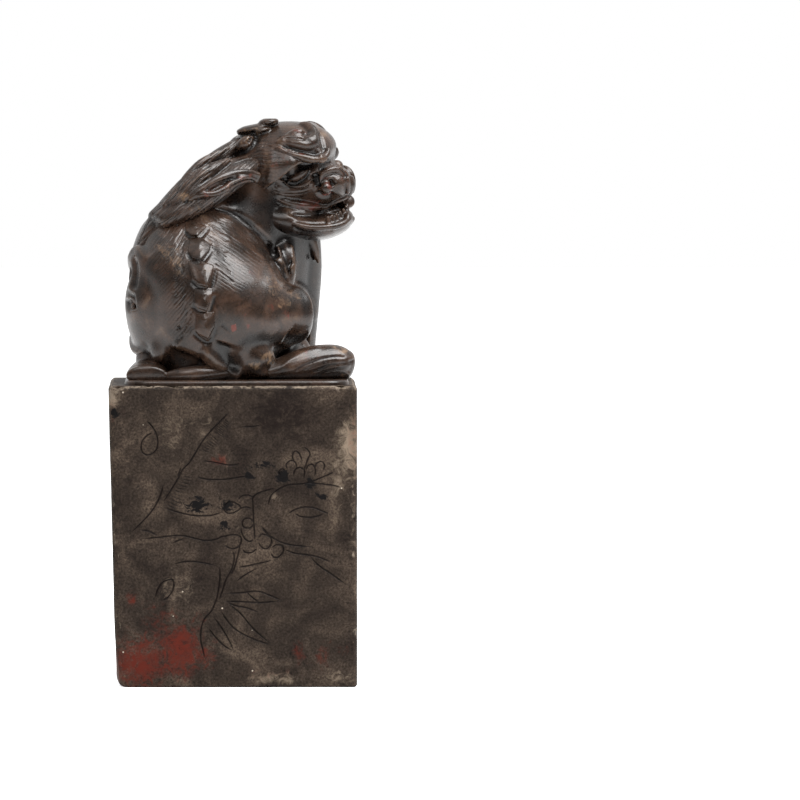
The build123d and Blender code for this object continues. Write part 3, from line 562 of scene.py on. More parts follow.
def roll(clay, table, across, steps=6, sides=28, dome=0.8, level=False):
    """A roll of clay along a table of rows: place, half-width along across, and half-thickness. A level roll is
    stacked up in level slices."""
    rows = run(table, steps)
    places = rows[:, :3]
    along = np.gradient(places, axis=0)
    along /= np.linalg.norm(along, axis=1)[:, None] + 1e-9
    if level:
        along = np.tile([0.0, 0.0, 1.0], (len(rows), 1))
    across = np.array(across, float)
    wide = across - along * (along @ across)[:, None]
    wide /= np.linalg.norm(wide, axis=1)[:, None]
    deep = np.cross(along, wide)

    def cap(end, way, angle):
        """A ring of the round end, at an angle from the roll's last row to its tip."""
        return (places[end] + along[end] * dome * rows[end, 4] * math.sin(angle) * way, wide[end], deep[end],
                rows[end, 3] * math.cos(angle), rows[end, 4] * math.cos(angle))

    rings = [cap(0, -1, k * math.pi / 10) for k in (4, 3, 2, 1)]
    rings += [(places[i], wide[i], deep[i], rows[i, 3], rows[i, 4]) for i in range(len(rows))]
    rings += [cap(-1, 1, k * math.pi / 10) for k in (1, 2, 3, 4)]
    points = [centre + w * half_w * math.cos(angle) + d * half_t * math.sin(angle)
              for centre, w, d, half_w, half_t in rings for angle in np.arange(sides) * 2 * math.pi / sides]
    points += [places[0] - along[0] * dome * rows[0, 4], places[-1] + along[-1] * dome * rows[-1, 4]]
    clay.append((np.array(points), closed(len(rings), sides)))


def lump(clay, centre, radii, turn=0.0, yaw=0.0):
    """An egg of clay, turned in the picture's plane and then about the upright."""
    points, sides, rings = [], 24, 14
    for ring in range(1, rings):
        height = math.pi * ring / rings
        for side in range(sides):
            angle = 2 * math.pi * side / sides
            points.append((math.sin(height) * math.cos(angle), math.sin(height) * math.sin(angle), math.cos(height)))
    points += [(0, 0, 1), (0, 0, -1)]
    faces = [face[:1] + face[:0:-1] for face in closed(rings - 1, sides)]
    c, s, cy, sy = math.cos(turn), math.sin(turn), math.cos(yaw), math.sin(yaw)
    tilt = np.array([[c, 0, -s], [0, 1, 0], [s, 0, c]])
    swing = np.array([[cy, -sy, 0], [sy, cy, 0], [0, 0, 1]])
    clay.append((np.array(points) * radii @ tilt.T @ swing.T + np.array(centre, float), faces))


def melt(name, clay, voxel, passes):
    """Joins rolls and lumps into one closed skin and rubs its creases soft."""
    points, faces = [], []
    for part_points, part_faces in clay:
        base = len(points)
        points += [tuple(p / 1000) for p in part_points]
        faces += [tuple(base + i for i in face) for face in part_faces]
    mesh = bpy.data.meshes.new(name)
    mesh.from_pydata(points, [], faces)
    piece = bpy.data.objects.new(name, mesh)
    bpy.context.collection.objects.link(piece)
    take(piece)
    bpy.ops.object.mode_set(mode="EDIT")
    bpy.ops.mesh.select_all(action="SELECT")
    bpy.ops.mesh.normals_make_consistent(inside=False)
    bpy.ops.object.mode_set(mode="OBJECT")
    remesh = piece.modifiers.new("one_skin", "REMESH")
    remesh.mode = "VOXEL"
    remesh.voxel_size = voxel / 1000
    bpy.ops.object.modifier_apply(modifier=remesh.name)
    if passes:
        rub = piece.modifiers.new("rub", "SMOOTH")
        rub.factor = 0.5
        rub.iterations = passes
        bpy.ops.object.modifier_apply(modifier=rub.name)
    return piece


def skin_of(piece):
    """The piece's points in millimetres and their outward directions."""
    count = len(piece.data.vertices)
    points, normals = np.zeros(count * 3, np.float32), np.zeros(count * 3, np.float32)
    piece.data.vertices.foreach_get("co", points)
    piece.data.vertex_normals.foreach_get("vector", normals)
    return points.reshape(-1, 3).astype(float) * 1000, normals.reshape(-1, 3).astype(float)


def set_skin(piece, points):
    """Moves the piece's points to new places in millimetres."""
    piece.data.vertices.foreach_set("co", (points / 1000).astype(np.float32).ravel())
    piece.data.update()


def chisel(piece, view, strokes):
    """Cuts or raises the skin along strokes drawn in the front view, or in millimetres on the far side. A groove sinks,
    a ridge stands up, and a step raises the left of the stroke and sinks its right. Each has its width, depth and,
    for a step, its fade."""
    points, normals = skin_of(piece)
    if view == "front":
        flat_points, facing = points[:, [0, 2]], -normals[:, 1]
    else:
        flat_points, facing = points[:, [1, 2]], -normals[:, 0]
    facing = np.clip(facing / 0.35, 0, 1)
    move = np.zeros(len(points))
    for kind, width, depth, *fade, table in strokes:
        line = run([drawn(*p) if view == "front" else p for p in table], 6)
        margin = width * 3 + sum(fade) * 3
        near = np.where(((flat_points > line.min(0) - margin) & (flat_points < line.max(0) + margin)).all(1)
                        & (facing > 0))[0]
        if not len(near):
            continue
        away, side, place = from_line(flat_points[near], line)
        taper = np.clip(np.minimum(place, 1 - place) * 6, 0, 1) ** 0.7
        if kind == "step":
            profile = depth * np.tanh(side * away / width) * np.exp(-away / fade[0])
        else:
            profile = depth * np.exp(-((away / width) ** 2)) * (1 if kind == "ridge" else -1)
        move[near] += profile * taper * facing[near]
    set_skin(piece, points + normals * move[:, None])


def finish_skin(piece, hair, strand, nodes, shade=0):
    """Stores worn places, hollows and painted shade to darken, and the hair lines, and seats the piece."""
    points, normals = skin_of(piece)
    points = np.clip(points, SOLIDS_LOW, SOLIDS_HIGH)
    set_skin(piece, points)
    count = len(points)
    ends = np.zeros(len(piece.data.edges) * 2, np.int32)
    piece.data.edges.foreach_get("vertices", ends)
    ends = ends.reshape(-1, 2)
    smooth = points.copy()
    shares = np.bincount(ends.ravel(), minlength=count)[:, None] + 1e-9
    curve = np.zeros(count)
    for step in range(14):
        total = np.zeros_like(smooth)
        for axis in range(3):
            total[:, axis] = np.bincount(ends[:, 0], smooth[ends[:, 1], axis], count)
            total[:, axis] += np.bincount(ends[:, 1], smooth[ends[:, 0], axis], count)
        smooth = total / shares
        if step in (3, 13):
            curve += ((points - smooth) * normals).sum(1) / (0.1 if step == 3 else 0.3)
    keep_on(piece.data, "worn", np.clip(curve / 2, 0, 1))
    # Darker in hollows, plus the painted shade passed in
    keep_on(piece.data, "hollow_and_painted_shade", np.clip(-curve / 2.4 + shade, 0, 0.95))
    keep_on(piece.data, "hair", hair)
    keep_on(piece.data, "strand", strand)
    piece.data.polygons.foreach_set("use_smooth", [True] * len(piece.data.polygons))
    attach(piece, "root")
    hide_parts(*nodes)


def inside(points, outline, soft):
    """1 inside an outline drawn in the picture, falling to 0 over a soft edge."""
    ring = np.array([drawn(*p) for p in outline + outline[:1]])
    away = from_line(points[:, [0, 2]], ring)[0]
    x, z = points[:, 0], points[:, 2]
    within = np.zeros(len(points), bool)
    for (x0, z0), (x1, z1) in zip(ring, ring[1:]):
        crosses = ((z0 > z) != (z1 > z)) & (x < (x1 - x0) * (z - z0) / (z1 - z0 + 1e-12) + x0)
        within ^= crosses
    return np.clip(np.where(within, 1.0, 1 - away / soft), 0, 1)


def stained(points, stains):
    """The strongest of some stains at each point. A stain has its outline in the picture, soft edge and strength."""
    return np.maximum.reduce([inside(points, outline, soft) * strength for outline, soft, strength in stains])


def painted_shade(points):
    """Painted shade: where the stone is painted darker under the jaw, on the foreleg and in the folds of the thigh."""
    return stained(points, [(outline, soft, 0.85) for outline, soft in (
        ([(710, 545), (940, 530), (1018, 670), (1152, 745), (1172, 831), (1072, 831), (965, 777), (857, 660)], 3.0),
        ([(1075, 776), (1180, 776), (1180, 1290), (1125, 1230), (1085, 1020)], 1.2),
        ([(640, 1270), (690, 1285), (684, 1340), (735, 1440), (700, 1440), (648, 1350)], 1.0),
        ([(740, 1280), (800, 1240), (900, 1240), (1080, 1250), (1050, 1285), (900, 1275)], 1.0))])


# Polished dark soapstone, waxed and handled: near black brown with purple-red clouds, ridges worn to brown, and a
# clear gloss; hair is cut with a fine graver, here 0.75 mm apart
polish = blank_material("waxed_soapstone")
place = add_node(polish, "TexCoord").outputs["Object"]
clouds, flecks, veins = [
    add_node(polish, "TexNoise", {"Vector": place, "Scale": scale, "Detail": detail, "Roughness": rough,
                                  "Distortion": twist}).outputs["Fac"]
    for scale, detail, rough, twist in ((190, 8, 0.62, 0.6), (2600, 5, 0.7, 0.0), (620, 8, 0.68, 1.0))]
ramp = add_node(polish, "ValToRGB", {"Fac": clouds})
stops = ramp.color_ramp.elements
stops[0].position, stops[0].color = 0.28, colour("#120d0b")
stops[1].position, stops[1].color = 0.75, colour("#5b493b")
stops.new(0.46).color = colour("#261b14")
stops.new(0.6).color = colour("#3a2a21")
base = ramp.outputs["Color"]
for layer, threshold, softness, spread, tint in (
        ("worn", 0.95, 1.7, 0.9, "#66503f"), ("blush", 1.72, 0.6, 2.3, "#592419"),
        ("tan", 1.52, 0.6, 2.3, "#6c5642")):
    base = over(polish, base, layer, threshold, softness, veins, spread, colour(tint))[0]
# Painted darker in the hollows, and painted shade under the jaw, on the foreleg and in the thigh's folds
darkening = add_node(polish, "Attribute", attribute_name="hollow_and_painted_shade").outputs["Fac"]
base = add_node(polish, "Mix", {0: darkening, 6: base, 7: colour("#0b0807")}, data_type="RGBA").outputs[2]
strand = add_node(polish, "Attribute", attribute_name="strand").outputs["Fac"]
wander = add_node(polish, "Math", {0: clouds, 1: 1.3, 2: strand}, operation="MULTIPLY_ADD").outputs[0]
lines = add_node(polish, "Math", {0: wander, 1: 8.4}, operation="MULTIPLY").outputs[0]
lines = add_node(polish, "Math", {0: lines}, operation="SINE").outputs[0]
lines = add_node(polish, "MapRange", {"Value": lines, "From Min": 0.1, "From Max": 0.95}).outputs[0]
hair = add_node(polish, "Attribute", attribute_name="hair").outputs["Fac"]
lines = add_node(polish, "Math", {0: lines, 1: hair}, operation="MULTIPLY").outputs[0]
# The bumped hair lines are painted near black along their grooves
hair_line_dark = add_node(polish, "Math", {0: lines, 1: 0.45}, operation="MULTIPLY").outputs[0]
base = add_node(polish, "Mix", {0: hair_line_dark, 6: base, 7: colour("#0d0908")}, data_type="RGBA").outputs[2]
shine = add_node(polish, "MapRange", {"Value": veins, "From Min": 0.3, "From Max": 0.7, "To Min": 0.22,
    "To Max": 0.36}).outputs["Result"]
height = add_node(polish, "Math", {0: flecks, 1: 0.35}, operation="MULTIPLY").outputs[0]
height = add_node(polish, "Math", {0: height, 1: lines}, operation="SUBTRACT").outputs[0]
bump = add_node(polish, "Bump", {"Height": height, "Strength": 0.6, "Distance": 0.00012}).outputs[0]
skin = add_node(polish, "BsdfPrincipled", {"Base Color": base, "Roughness": shine, "Normal": bump, "IOR": 1.56,
    "Specular IOR Level": 0.28, "Coat Weight": 0.12, "Coat Roughness": 0.12})
add_node(polish, "OutputMaterial", {"Surface": skin.outputs[0]})
plinth.data.materials.append(polish)
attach(plinth, "root")
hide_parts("plinth")


# Body
# The seated trunk, chest, neck and both thighs: round, smooth and glossy, with hair cut on each side of the spine.
mass = []


def limb(clay, table, radius, across=(0, 1, 0), **settings):
    """A round roll, from places in shares and shares of one radius."""
    roll(clay, sized(table, radius, radius), across, **settings)


def as_clay(piece):
    """Takes a melted mass back as clay, so that it can be melted again with more on it."""
    mass = skin_of(piece)[0], [tuple(face.vertices) for face in piece.data.polygons]
    bpy.data.objects.remove(piece)
    return [mass]


def refine(piece, chosen):
    """Splits the faces with all points chosen, where finer cuts will need points to follow."""
    take(piece)
    bpy.ops.object.mode_set(mode="EDIT")
    bpy.ops.mesh.select_mode(type="FACE")
    bpy.ops.mesh.select_all(action="DESELECT")
    bpy.ops.object.mode_set(mode="OBJECT")
    faces = piece.data.polygons
    corners = np.zeros(len(piece.data.loops), np.int32)
    starts_at, totals = np.zeros(len(faces), np.int32), np.zeros(len(faces), np.int32)
    piece.data.loops.foreach_get("vertex_index", corners)
    faces.foreach_get("loop_start", starts_at)
    faces.foreach_get("loop_total", totals)
    faces.foreach_set("select", np.add.reduceat(chosen[corners].astype(int), starts_at) == totals)
    bpy.ops.object.mode_set(mode="EDIT")
    bpy.ops.mesh.subdivide(number_cuts=1)
    bpy.ops.object.mode_set(mode="OBJECT")


def fan(first, last, count, width, depth, seed):
    """Hair cut side by side from the first stroke to the last, each with its own length and strength."""
    chance = np.random.default_rng(seed)
    strokes = []
    for number in range(count):
        share = number / (count - 1)
        rows = run(np.array(first, float) * (1 - share) + np.array(last, float) * share, 6)
        rows = rows + chance.normal(0, 2.2, 2)
        start, end = int(chance.uniform(0, 0.3) * len(rows)), int(chance.uniform(0.72, 1.0) * len(rows))
        strokes.append(("groove", width, depth * chance.uniform(0.5, 1.25), [tuple(p) for p in rows[start:end:2]]))
    return strokes


roll(mass, sized([(-0.15, -0.33, 0.01, 0.6, 0.62), (-0.15, -0.34, 0.1, 0.74, 0.72), (-0.1, -0.3, 0.23, 0.9, 0.92),
    (-0.16, -0.25, 0.355, 0.89, 1.0), (-0.247, -0.18, 0.466, 0.859, 0.97), (-0.32, -0.09, 0.553, 0.68, 0.88),
    (-0.3, 0.01, 0.624, 0.58, 0.77), (-0.21, 0.13, 0.71, 0.38, 0.54)], 20.5, 18.5), (1, 0, 0), sides=40, dome=0.25,
    level=True)
roll(mass, sized([(0.29, 0.4, 0.18, 0.7, 0.7), (0.25, 0.4, 0.31, 0.9, 0.91), (0.25, 0.37, 0.434, 1.0, 1.0),
    (0.29, 0.33, 0.545, 0.96, 1.0), (0.28, 0.27, 0.64, 0.84, 0.92)], 12.5, 11.0), (1, 0, 0), dome=0.4, level=True)
roll(mass, sized([(-0.07, 0.13, 0.5, 0.95, 0.95), (-0.03, 0.17, 0.59, 0.93, 0.95), (0.05, 0.22, 0.69, 0.82, 0.86),
    (0.2, 0.27, 0.81, 0.66, 0.74)], 14.0, 13.0), (1, 0, 0), dome=0.2, level=True)
limb(mass, [(-0.1, -0.29, 0.4, 0.66), (0.08, -0.38, 0.3, 0.92), (0.3, -0.34, 0.262, 0.78), (0.55, -0.25, 0.262, 0.54)],
    12.5, dome=0.35)
limb(mass, [(-0.27, -0.24, 0.47, 0.7), (-0.44, -0.27, 0.345, 0.98), (-0.47, -0.22, 0.235, 0.93),
    (-0.43, -0.14, 0.12, 0.78)], 12.4, dome=0.5)
limb(mass, [(-0.44, -0.34, 0.22, 1.0), (-0.47, -0.44, 0.14, 1.0), (-0.49, -0.5, 0.085, 0.8)], 6.4, dome=0.4)
limb(mass, [(0.0, -0.54, 0.14, 1.0), (0.16, -0.6, 0.1, 1.1), (0.27, -0.58, 0.06, 0.8)], 4.6, dome=0.5)
lump(mass, (12.0, 0.0, 79.0), (7.5, 8.0, 6.5))
lump(mass, (13.0, -1.0, 101.0), (2.6, 3.2, 5.5))
clay = as_clay(melt("trunk_mass", mass, 0.55, 36))
limb(clay, [(0.53, 0.3, 0.56, 1.1), (0.56, 0.38, 0.42, 1.0), (0.56, 0.45, 0.276, 0.86), (0.54, 0.5, 0.134, 0.82),
    (0.53, 0.52, 0.05, 0.86)], 5.0, (1, 0, 0))
limb(clay, [(-0.27, 0.33, 0.56, 1.4), (-0.23, 0.43, 0.42, 1.15), (-0.18, 0.53, 0.276, 0.95), (-0.15, 0.58, 0.134, 0.9),
    (-0.15, 0.6, 0.05, 0.92)], 5.0, (1, 0, 0))
roll(clay, [(11.0, -2.0, 104.8, 0.5, 1.6), (11.4, -2.6, 101.8, 1.4, 3.2), (12.3, -3.2, 99.0, 1.35, 3.2),
    (13.9, -3.6, 95.8, 0.5, 1.8)], (1, 0, 0), dome=0.4)
roll(clay, [(14.4, -0.8, 105.2, 0.4, 1.6), (14.6, -1.4, 101.5, 0.95, 2.6), (14.6, -2.0, 98.4, 0.85, 2.6),
    (14.3, -3.0, 95.6, 0.35, 1.4)], (1, 0, 0), dome=0.4)
limb(clay, [(0.56, 0.14, 0.59, 1.0), (0.64, 0.17, 0.53, 0.8), (0.7, 0.19, 0.455, 0.25)], 2.0)
roll(clay, sized([(-0.2, 0.47, 0.72, 0.8), (-0.3, 0.53, 0.61, 1.0), (-0.32, 0.57, 0.48, 0.95),
    (-0.27, 0.53, 0.38, 0.6), (-0.2, 0.43, 0.31, 0.2)], 5.5, 3.3), (0, 1, 0))
body = melt("seated_body", clay, 0.42, 3)
chisel(body, "front", [
    ("groove", 1.6, 0.3, [(440, 640), (448, 760), (455, 880), (478, 1000), (488, 1120), (496, 1220)]),
    ("groove", 1.2, 0.28, [(584, 640), (606, 740), (622, 850), (620, 960), (612, 1080), (622, 1200)]),
    ("step", 0.8, 1.1, 4.5, [(380, 1300), (405, 1317), (448, 1328), (492, 1344), (547, 1374), (602, 1418),
                              (656, 1456)]),
    ("groove", 3.4, 1.1, [(330, 1392), (430, 1395), (540, 1430)]),
    ("ridge", 1.3, 0.8, [(545, 1300), (596, 1346), (645, 1395), (700, 1442), (760, 1460)]),
    ("groove", 2.8, 0.9, [(672, 1275), (662, 1310), (670, 1353), (700, 1405), (745, 1440)]),
    ("groove", 1.5, 0.7, [(985, 1300), (960, 1350), (930, 1400), (900, 1449)]),
    ("groove", 2.6, 1.2, [(1000, 1240), (1060, 1280), (1130, 1290)]),
    ("groove", 0.22, 0.3, [(454, 1230), (424, 1265), (406, 1298), (402, 1318)]),
    ("groove", 0.22, 0.35, [(650, 1170), (675, 1195), (702, 1222)]),
    ("groove", 0.9, 0.8, [(565, 545), (650, 560), (740, 610), (830, 680), (910, 770), (950, 840)]),
    ("ridge", 1.3, 0.5, [(640, 590), (740, 650), (830, 735), (890, 820), (925, 900), (975, 975)]),
    ("groove", 0.9, 0.5, [(925, 800), (945, 880), (990, 965), (1040, 1000)]),
    ("ridge", 0.9, 0.4, [(1035, 970), (1100, 1010), (1150, 1090), (1165, 1180)]),
    ("groove", 0.22, 0.35, [(985, 860), (992, 920), (1012, 950)]),
    ("ridge", 0.9, 0.6, [(168, 815), (176, 880), (170, 950), (160, 1010)]),
    ("groove", 0.55, 0.8, [(184, 820), (190, 890), (184, 950), (176, 1000)]),
    ("groove", 0.8, 1.2, [(138, 1050), (150, 1080), (172, 1100)]),
    ("groove", 0.5, 0.9, [(165, 1020), (172, 1060), (176, 1110)]),
    ("groove", 0.3, 0.45, [(405, 645), (416, 652)]),
    ("groove", 0.4, 0.6, [(415, 1192), (425, 1202)]),
])
far_body = [
    ("step", 0.5, 0.9, 2.0, [(-3, 84), (-1, 92), (-4, 101), (-10, 106), (-17, 103)]),
    ("ridge", 0.9, 0.6, [(-1, 86), (-4, 82), (-9, 80), (-14, 82)]),
    ("ridge", 0.9, 0.6, [(0.5, 90), (-1.5, 84.5), (-7, 81), (-13, 80)]),
]
far_body += [("groove", 0.5, 0.8, [(10, z), (14, z - 1.5), (19, z - 0.5)]) for z in np.arange(90, 118, 3.2)]
chisel(body, "far", far_body)
right_patch = [(565, 600), (640, 600), (780, 640), (900, 760), (850, 860), (740, 980), (620, 960), (600, 800)]
left_patch = [(290, 720), (400, 620), (455, 640), (460, 860), (490, 1080), (480, 1240), (390, 1240), (360, 1000),
              (300, 860)]
points, normals = skin_of(body)
refine(body, (stained(points, [(right_patch, 0.4, 1), (left_patch, 0.4, 1)]) > 0.5) & (normals[:, 1] < -0.15))
hairs = fan([(580, 628), (632, 655), (690, 690)], [(614, 870), (672, 915), (730, 965)], 19, 0.17, 0.22, 11)
hairs += fan([(640, 618), (750, 675), (880, 790)], [(655, 700), (750, 765), (850, 850)], 7, 0.15, 0.16, 12)
hairs += fan([(300, 742), (345, 690), (385, 640)], [(345, 870), (400, 795), (440, 715)], 13, 0.15, 0.16, 13)
hairs += fan([(395, 760), (425, 705), (450, 655)], [(385, 1030), (432, 985), (466, 930)], 24, 0.15, 0.16, 14)
hairs += fan([(385, 1045), (430, 1000), (468, 945)], [(420, 1220), (450, 1175), (470, 1125)], 13, 0.15, 0.16, 15)
hairs += fan([(600, 578), (760, 645), (930, 800)], [(590, 548), (770, 605), (950, 755)], 6, 0.2, 0.16, 16)
chisel(body, "front", hairs + [("groove", 0.5, 0.45, cut) for cut in (
    [(448, 672), (480, 712), (530, 716), (585, 660)], [(464, 790), (492, 832), (545, 846), (604, 770)],
    [(486, 938), (522, 980), (590, 992), (622, 880)], [(496, 1072), (520, 1104), (580, 1122), (616, 1020)],
    [(500, 1216), (525, 1248), (588, 1275), (628, 1180)])])
points, normals = skin_of(body)
toward = np.clip(-normals[:, 1] / 0.3, 0, 1)
hair = stained(points, [(right_patch, 1.5, 0.5), (left_patch, 1.5, 0.45)]) * toward
right_side = points[:, 0] > drawn(540, 0)[0]
strand = np.where(right_side, points[:, 0] * 0.55 + points[:, 2] * 0.83, points[:, 0] * -0.76 + points[:, 2] * 0.65)
keep_on(body.data, "blush", stained(points, [
    ([(787, 1180), (800, 1176), (804, 1192), (790, 1196)], 0.5, 0.9),
    ([(708, 1186), (724, 1182), (728, 1208), (712, 1214)], 0.5, 1.7),
    ([(900, 1080), (925, 1075), (925, 1105)], 0.8, 0.7),
    ([(990, 1120), (1015, 1115), (1010, 1150)], 0.9, 0.8),
    ([(700, 900), (860, 860), (1000, 1100), (760, 1130)], 4.0, 0.42),
    ([(230, 760), (330, 740), (400, 1000), (330, 1200), (230, 1200)], 3.0, 0.36)]))
keep_on(body.data, "tan", stained(points, [
    ([(300, 760), (420, 780), (430, 900)], 3.0, 0.45),
    ([(860, 900), (960, 960), (1080, 1050), (960, 1080)], 2.5, 0.42),
    ([(860, 1350), (930, 1330), (930, 1400)], 1.5, 0.6),
    ([(800, 1395), (850, 1390), (840, 1420)], 0.8, 0.9)]))
# Painted shade under the jaw, on the foreleg and in the thigh's folds is passed in with the hollows
finish_skin(body, hair, strand, ["torso", "chest", "neck", "haunch_right", "haunch_left", "foreleg_right",
                                 "foreleg_left", "shoulder_tuft_right", "elbow_tuft_right", "foreleg_frill_left",
                                 "calf_right"], painted_shade(points))
body.data.materials.append(polish)


# Feet and tail
# Round paws with rolled toes, the near hind foot splayed out with long cuts along it, and the tail tucked under.
clay = []
roll(clay, sized([(0.27, -0.56, 0.042, 0.74, 0.46), (0.43, -0.52, 0.056, 0.92, 0.68), (0.63, -0.46, 0.072, 1.0, 0.9),
    (0.82, -0.41, 0.076, 1.0, 0.92), (0.92, -0.39, 0.068, 0.84, 0.74)], 5.0, 5.0), (0, 1, 0), dome=0.5)
limb(clay, [(-0.59, -0.13, 0.16, 1.0), (-0.66, -0.32, 0.09, 0.8), (-0.67, -0.46, 0.05, 0.5)], 4.6, (0, 0, 1), dome=0.5)
roll(clay, sized([(-0.69, -0.74, 0.036, 1.14, 0.72), (-0.68, -0.5, 0.044, 1.1, 0.9),
    (-0.64, -0.23, 0.055, 1.0, 1.0)], 4.4, 3.3), (1, 0, 0), dome=0.3)
for number in range(4):
    x, y = -0.77 + 0.02 * number / 3, -0.66 + 0.46 * number / 3
    limb(clay, [(x + 0.07, y, 0.046, 0.8), (x, y, 0.042, 1.0), (x - 0.05, y, 0.032, 0.7)], 2.1, (0, 0, 1), dome=0.5)
limb(clay, [(-0.02, -0.66, 0.05, 0.8), (-0.26, -0.74, 0.04, 1.0), (-0.43, -0.74, 0.035, 0.85),
    (-0.56, -0.71, 0.028, 0.4)], 2.2, (0, 0, 1))
for ankle_x, ankle_y in ((0.53, 0.52), (-0.15, 0.6)):
    roll(clay, [spot(ankle_x, ankle_y + y, z) + [w * 5.0, h * 3.3] for y, z, w, h in
                [(-0.09, 0.057, 0.88, 0.92), (0.07, 0.058, 1.0, 1.0), (0.2, 0.05, 1.0, 0.82)]], (1, 0, 0))
    for number in range(4):
        x = ankle_x + (number - 1.5) * 0.088
        limb(clay, [(x, ankle_y + 0.18, 0.046, 0.8), (x, ankle_y + 0.25, 0.042, 1.0), (x, ankle_y + 0.32, 0.032, 0.62)],
             2.1, (0, 0, 1), dome=0.4)
feet = melt("paws_and_tail", clay, 0.3, 4)
chisel(feet, "front", [
    ("groove", 0.3, 0.3, [(1043, 1439), (1084, 1408), (1136, 1388), (1197, 1367), (1269, 1357), (1320, 1362)]),
    ("groove", 0.28, 0.3, [(1136, 1444), (1197, 1418), (1248, 1400), (1325, 1393)]),
    ("groove", 0.28, 0.28, [(1187, 1449), (1248, 1429), (1320, 1418)]),
    ("groove", 0.2, 0.14, [(1090, 1428), (1150, 1404), (1230, 1382), (1300, 1378)]),
    ("ridge", 0.6, 0.25, [(971, 1418), (1033, 1367), (1105, 1331), (1187, 1311)]),
    ("groove", 0.9, 0.6, [(1352, 1370), (1360, 1410), (1340, 1450)]),
])
points = skin_of(feet)[0]
keep_on(feet.data, "blush", inside(points, [(1040, 1330), (1200, 1320), (1200, 1360), (1060, 1390)], 1.5) * 0.5)
keep_on(feet.data, "tan", np.maximum(inside(points, [(1260, 1310), (1330, 1320), (1320, 1345)], 1.0) * 0.6,
                                     0.25 * (points[:, 2] < 75)))
finish_skin(feet, inside(points, [(960, 1290), (1350, 1290), (1350, 1470), (940, 1470)], 1.0) * 0.15,
            points[:, 2] * 0.9 - points[:, 0] * 0.3,
            ["hind_foot_right", "shank_left", "hind_paw_left", "tail", "fore_paw_right", "fore_paw_left"])
feet.data.materials.append(polish)


# Mane
# Long combed locks: a cape over the nape, a tress down the far flank with the drilled cord hole, and one on the
# far shoulder, each cut lengthwise with the graver.
NAPE = [(0.2, 0.14, 0.85, 0.4), (0.02, -0.04, 0.806, 0.84), (-0.22, -0.17, 0.735, 1.02), (-0.42, -0.27, 0.672, 0.96),
    (-0.6, -0.33, 0.622, 0.66)]
TRESS = [(0.05, 0.15, 0.905, 0.6), (-0.13, 0.07, 0.838, 0.88), (-0.34, -0.04, 0.745, 1.0), (-0.58, -0.2, 0.612, 1.0),
    (-0.74, -0.28, 0.47, 0.7), (-0.79, -0.35, 0.355, 0.44), (-0.8, -0.41, 0.284, 0.16)]
SHOULDER = [(-0.03, 0.29, 0.87, 0.6), (-0.3, 0.29, 0.766, 0.92), (-0.53, 0.24, 0.64, 1.0), (-0.67, 0.18, 0.498, 0.9),
    (-0.69, 0.14, 0.37, 0.65), (-0.62, 0.11, 0.29, 0.2)]
TRESS_LIE = (-0.19, 0.91, -0.36)
clay = []
roll(clay, sized(NAPE, 8.4, 4.0), (0.45, -0.89, 0), dome=0.5)
roll(clay, sized(TRESS, 5.5, 3.2), TRESS_LIE)
roll(clay, sized(SHOULDER, 4.3, 2.5), (0, 1, 0))


def lock(clay, rows, flat_share):
    """A lock of hair through drawn places, each with its depth and half-width in millimetres."""
    table = [[drawn(x, z)[0], y, drawn(x, z)[1], r, r * flat_share] for x, z, y, r in rows]
    roll(clay, table, (0, -1, 0), steps=8, sides=20)


lock(clay, [(690, 235, -2.6, 0.6), (560, 312, -6.2, 1.5), (490, 380, -8.0, 1.7), (432, 452, -9.8, 1.5),
    (383, 507, -11.2, 1.2), (340, 548, -12.2, 0.7)], 0.9)
lock(clay, [(690, 300, -5.6, 0.7), (560, 375, -10.0, 2.2), (495, 436, -11.6, 2.4), (440, 500, -12.6, 1.9),
    (390, 541, -13.0, 1.2)], 0.9)
lock(clay, [(660, 395, -9.4, 0.7), (555, 450, -12.7, 1.6), (500, 495, -13.6, 1.5), (462, 535, -13.6, 0.9)], 0.9)
mane = melt("combed_mane", clay, 0.3, 4)
HOLE_R, HOLE_DEPTH, TRESS_HALF = 1.9, 4.4, 3.2
hole_place, hole_axis = np.array(spot(*TRESS[2][:3])), np.array([-0.7515, 0.101, 0.652])
hole_floor = hole_place + hole_axis * (TRESS_HALF - HOLE_DEPTH)
bpy.ops.mesh.primitive_cylinder_add(vertices=48, radius=HOLE_R / 1000, depth=0.02,
                                    location=tuple((hole_floor + hole_axis * 10) / 1000),
                                    rotation=Vector(hole_axis).to_track_quat("Z", "Y").to_euler())
drill = bpy.context.object
take(mane)
bore = mane.modifiers.new("cord_hole", "BOOLEAN")
bore.object = drill
bore.solver = "EXACT"
bpy.ops.object.modifier_apply(modifier=bore.name)
bpy.data.objects.remove(drill)
chisel(mane, "front", [
    ("groove", 0.45, 0.6, [(600, 318), (558, 336), (509, 368), (462, 420), (425, 470), (390, 515)]),
    ("groove", 0.4, 0.5, [(590, 398), (558, 420), (509, 462), (470, 510), (440, 545)]),
    ("groove", 0.25, 0.3, [(600, 290), (540, 328), (490, 380)]),
    ("groove", 0.22, 0.25, [(620, 350), (545, 395), (480, 455), (430, 510)]),
])
points, normals = skin_of(mane)


def along_lock(points, table, across):
    """How far each point lies to the side of a lock's middle line, and from it."""
    rows = run([spot(*row[:3]) for row in table], 6)
    gap = points[:, None, :] - rows[None]
    away = (gap**2).sum(2)
    nearest = away.argmin(1)
    heading = np.gradient(rows, axis=0)
    heading /= np.linalg.norm(heading, axis=1)[:, None]
    wide = np.array(across, float) - heading * (heading @ np.array(across, float))[:, None]
    wide /= np.linalg.norm(wide, axis=1)[:, None]
    rows_index = np.arange(len(points))
    return (gap[rows_index, nearest] * wide[nearest]).sum(1), np.sqrt(away[rows_index, nearest])


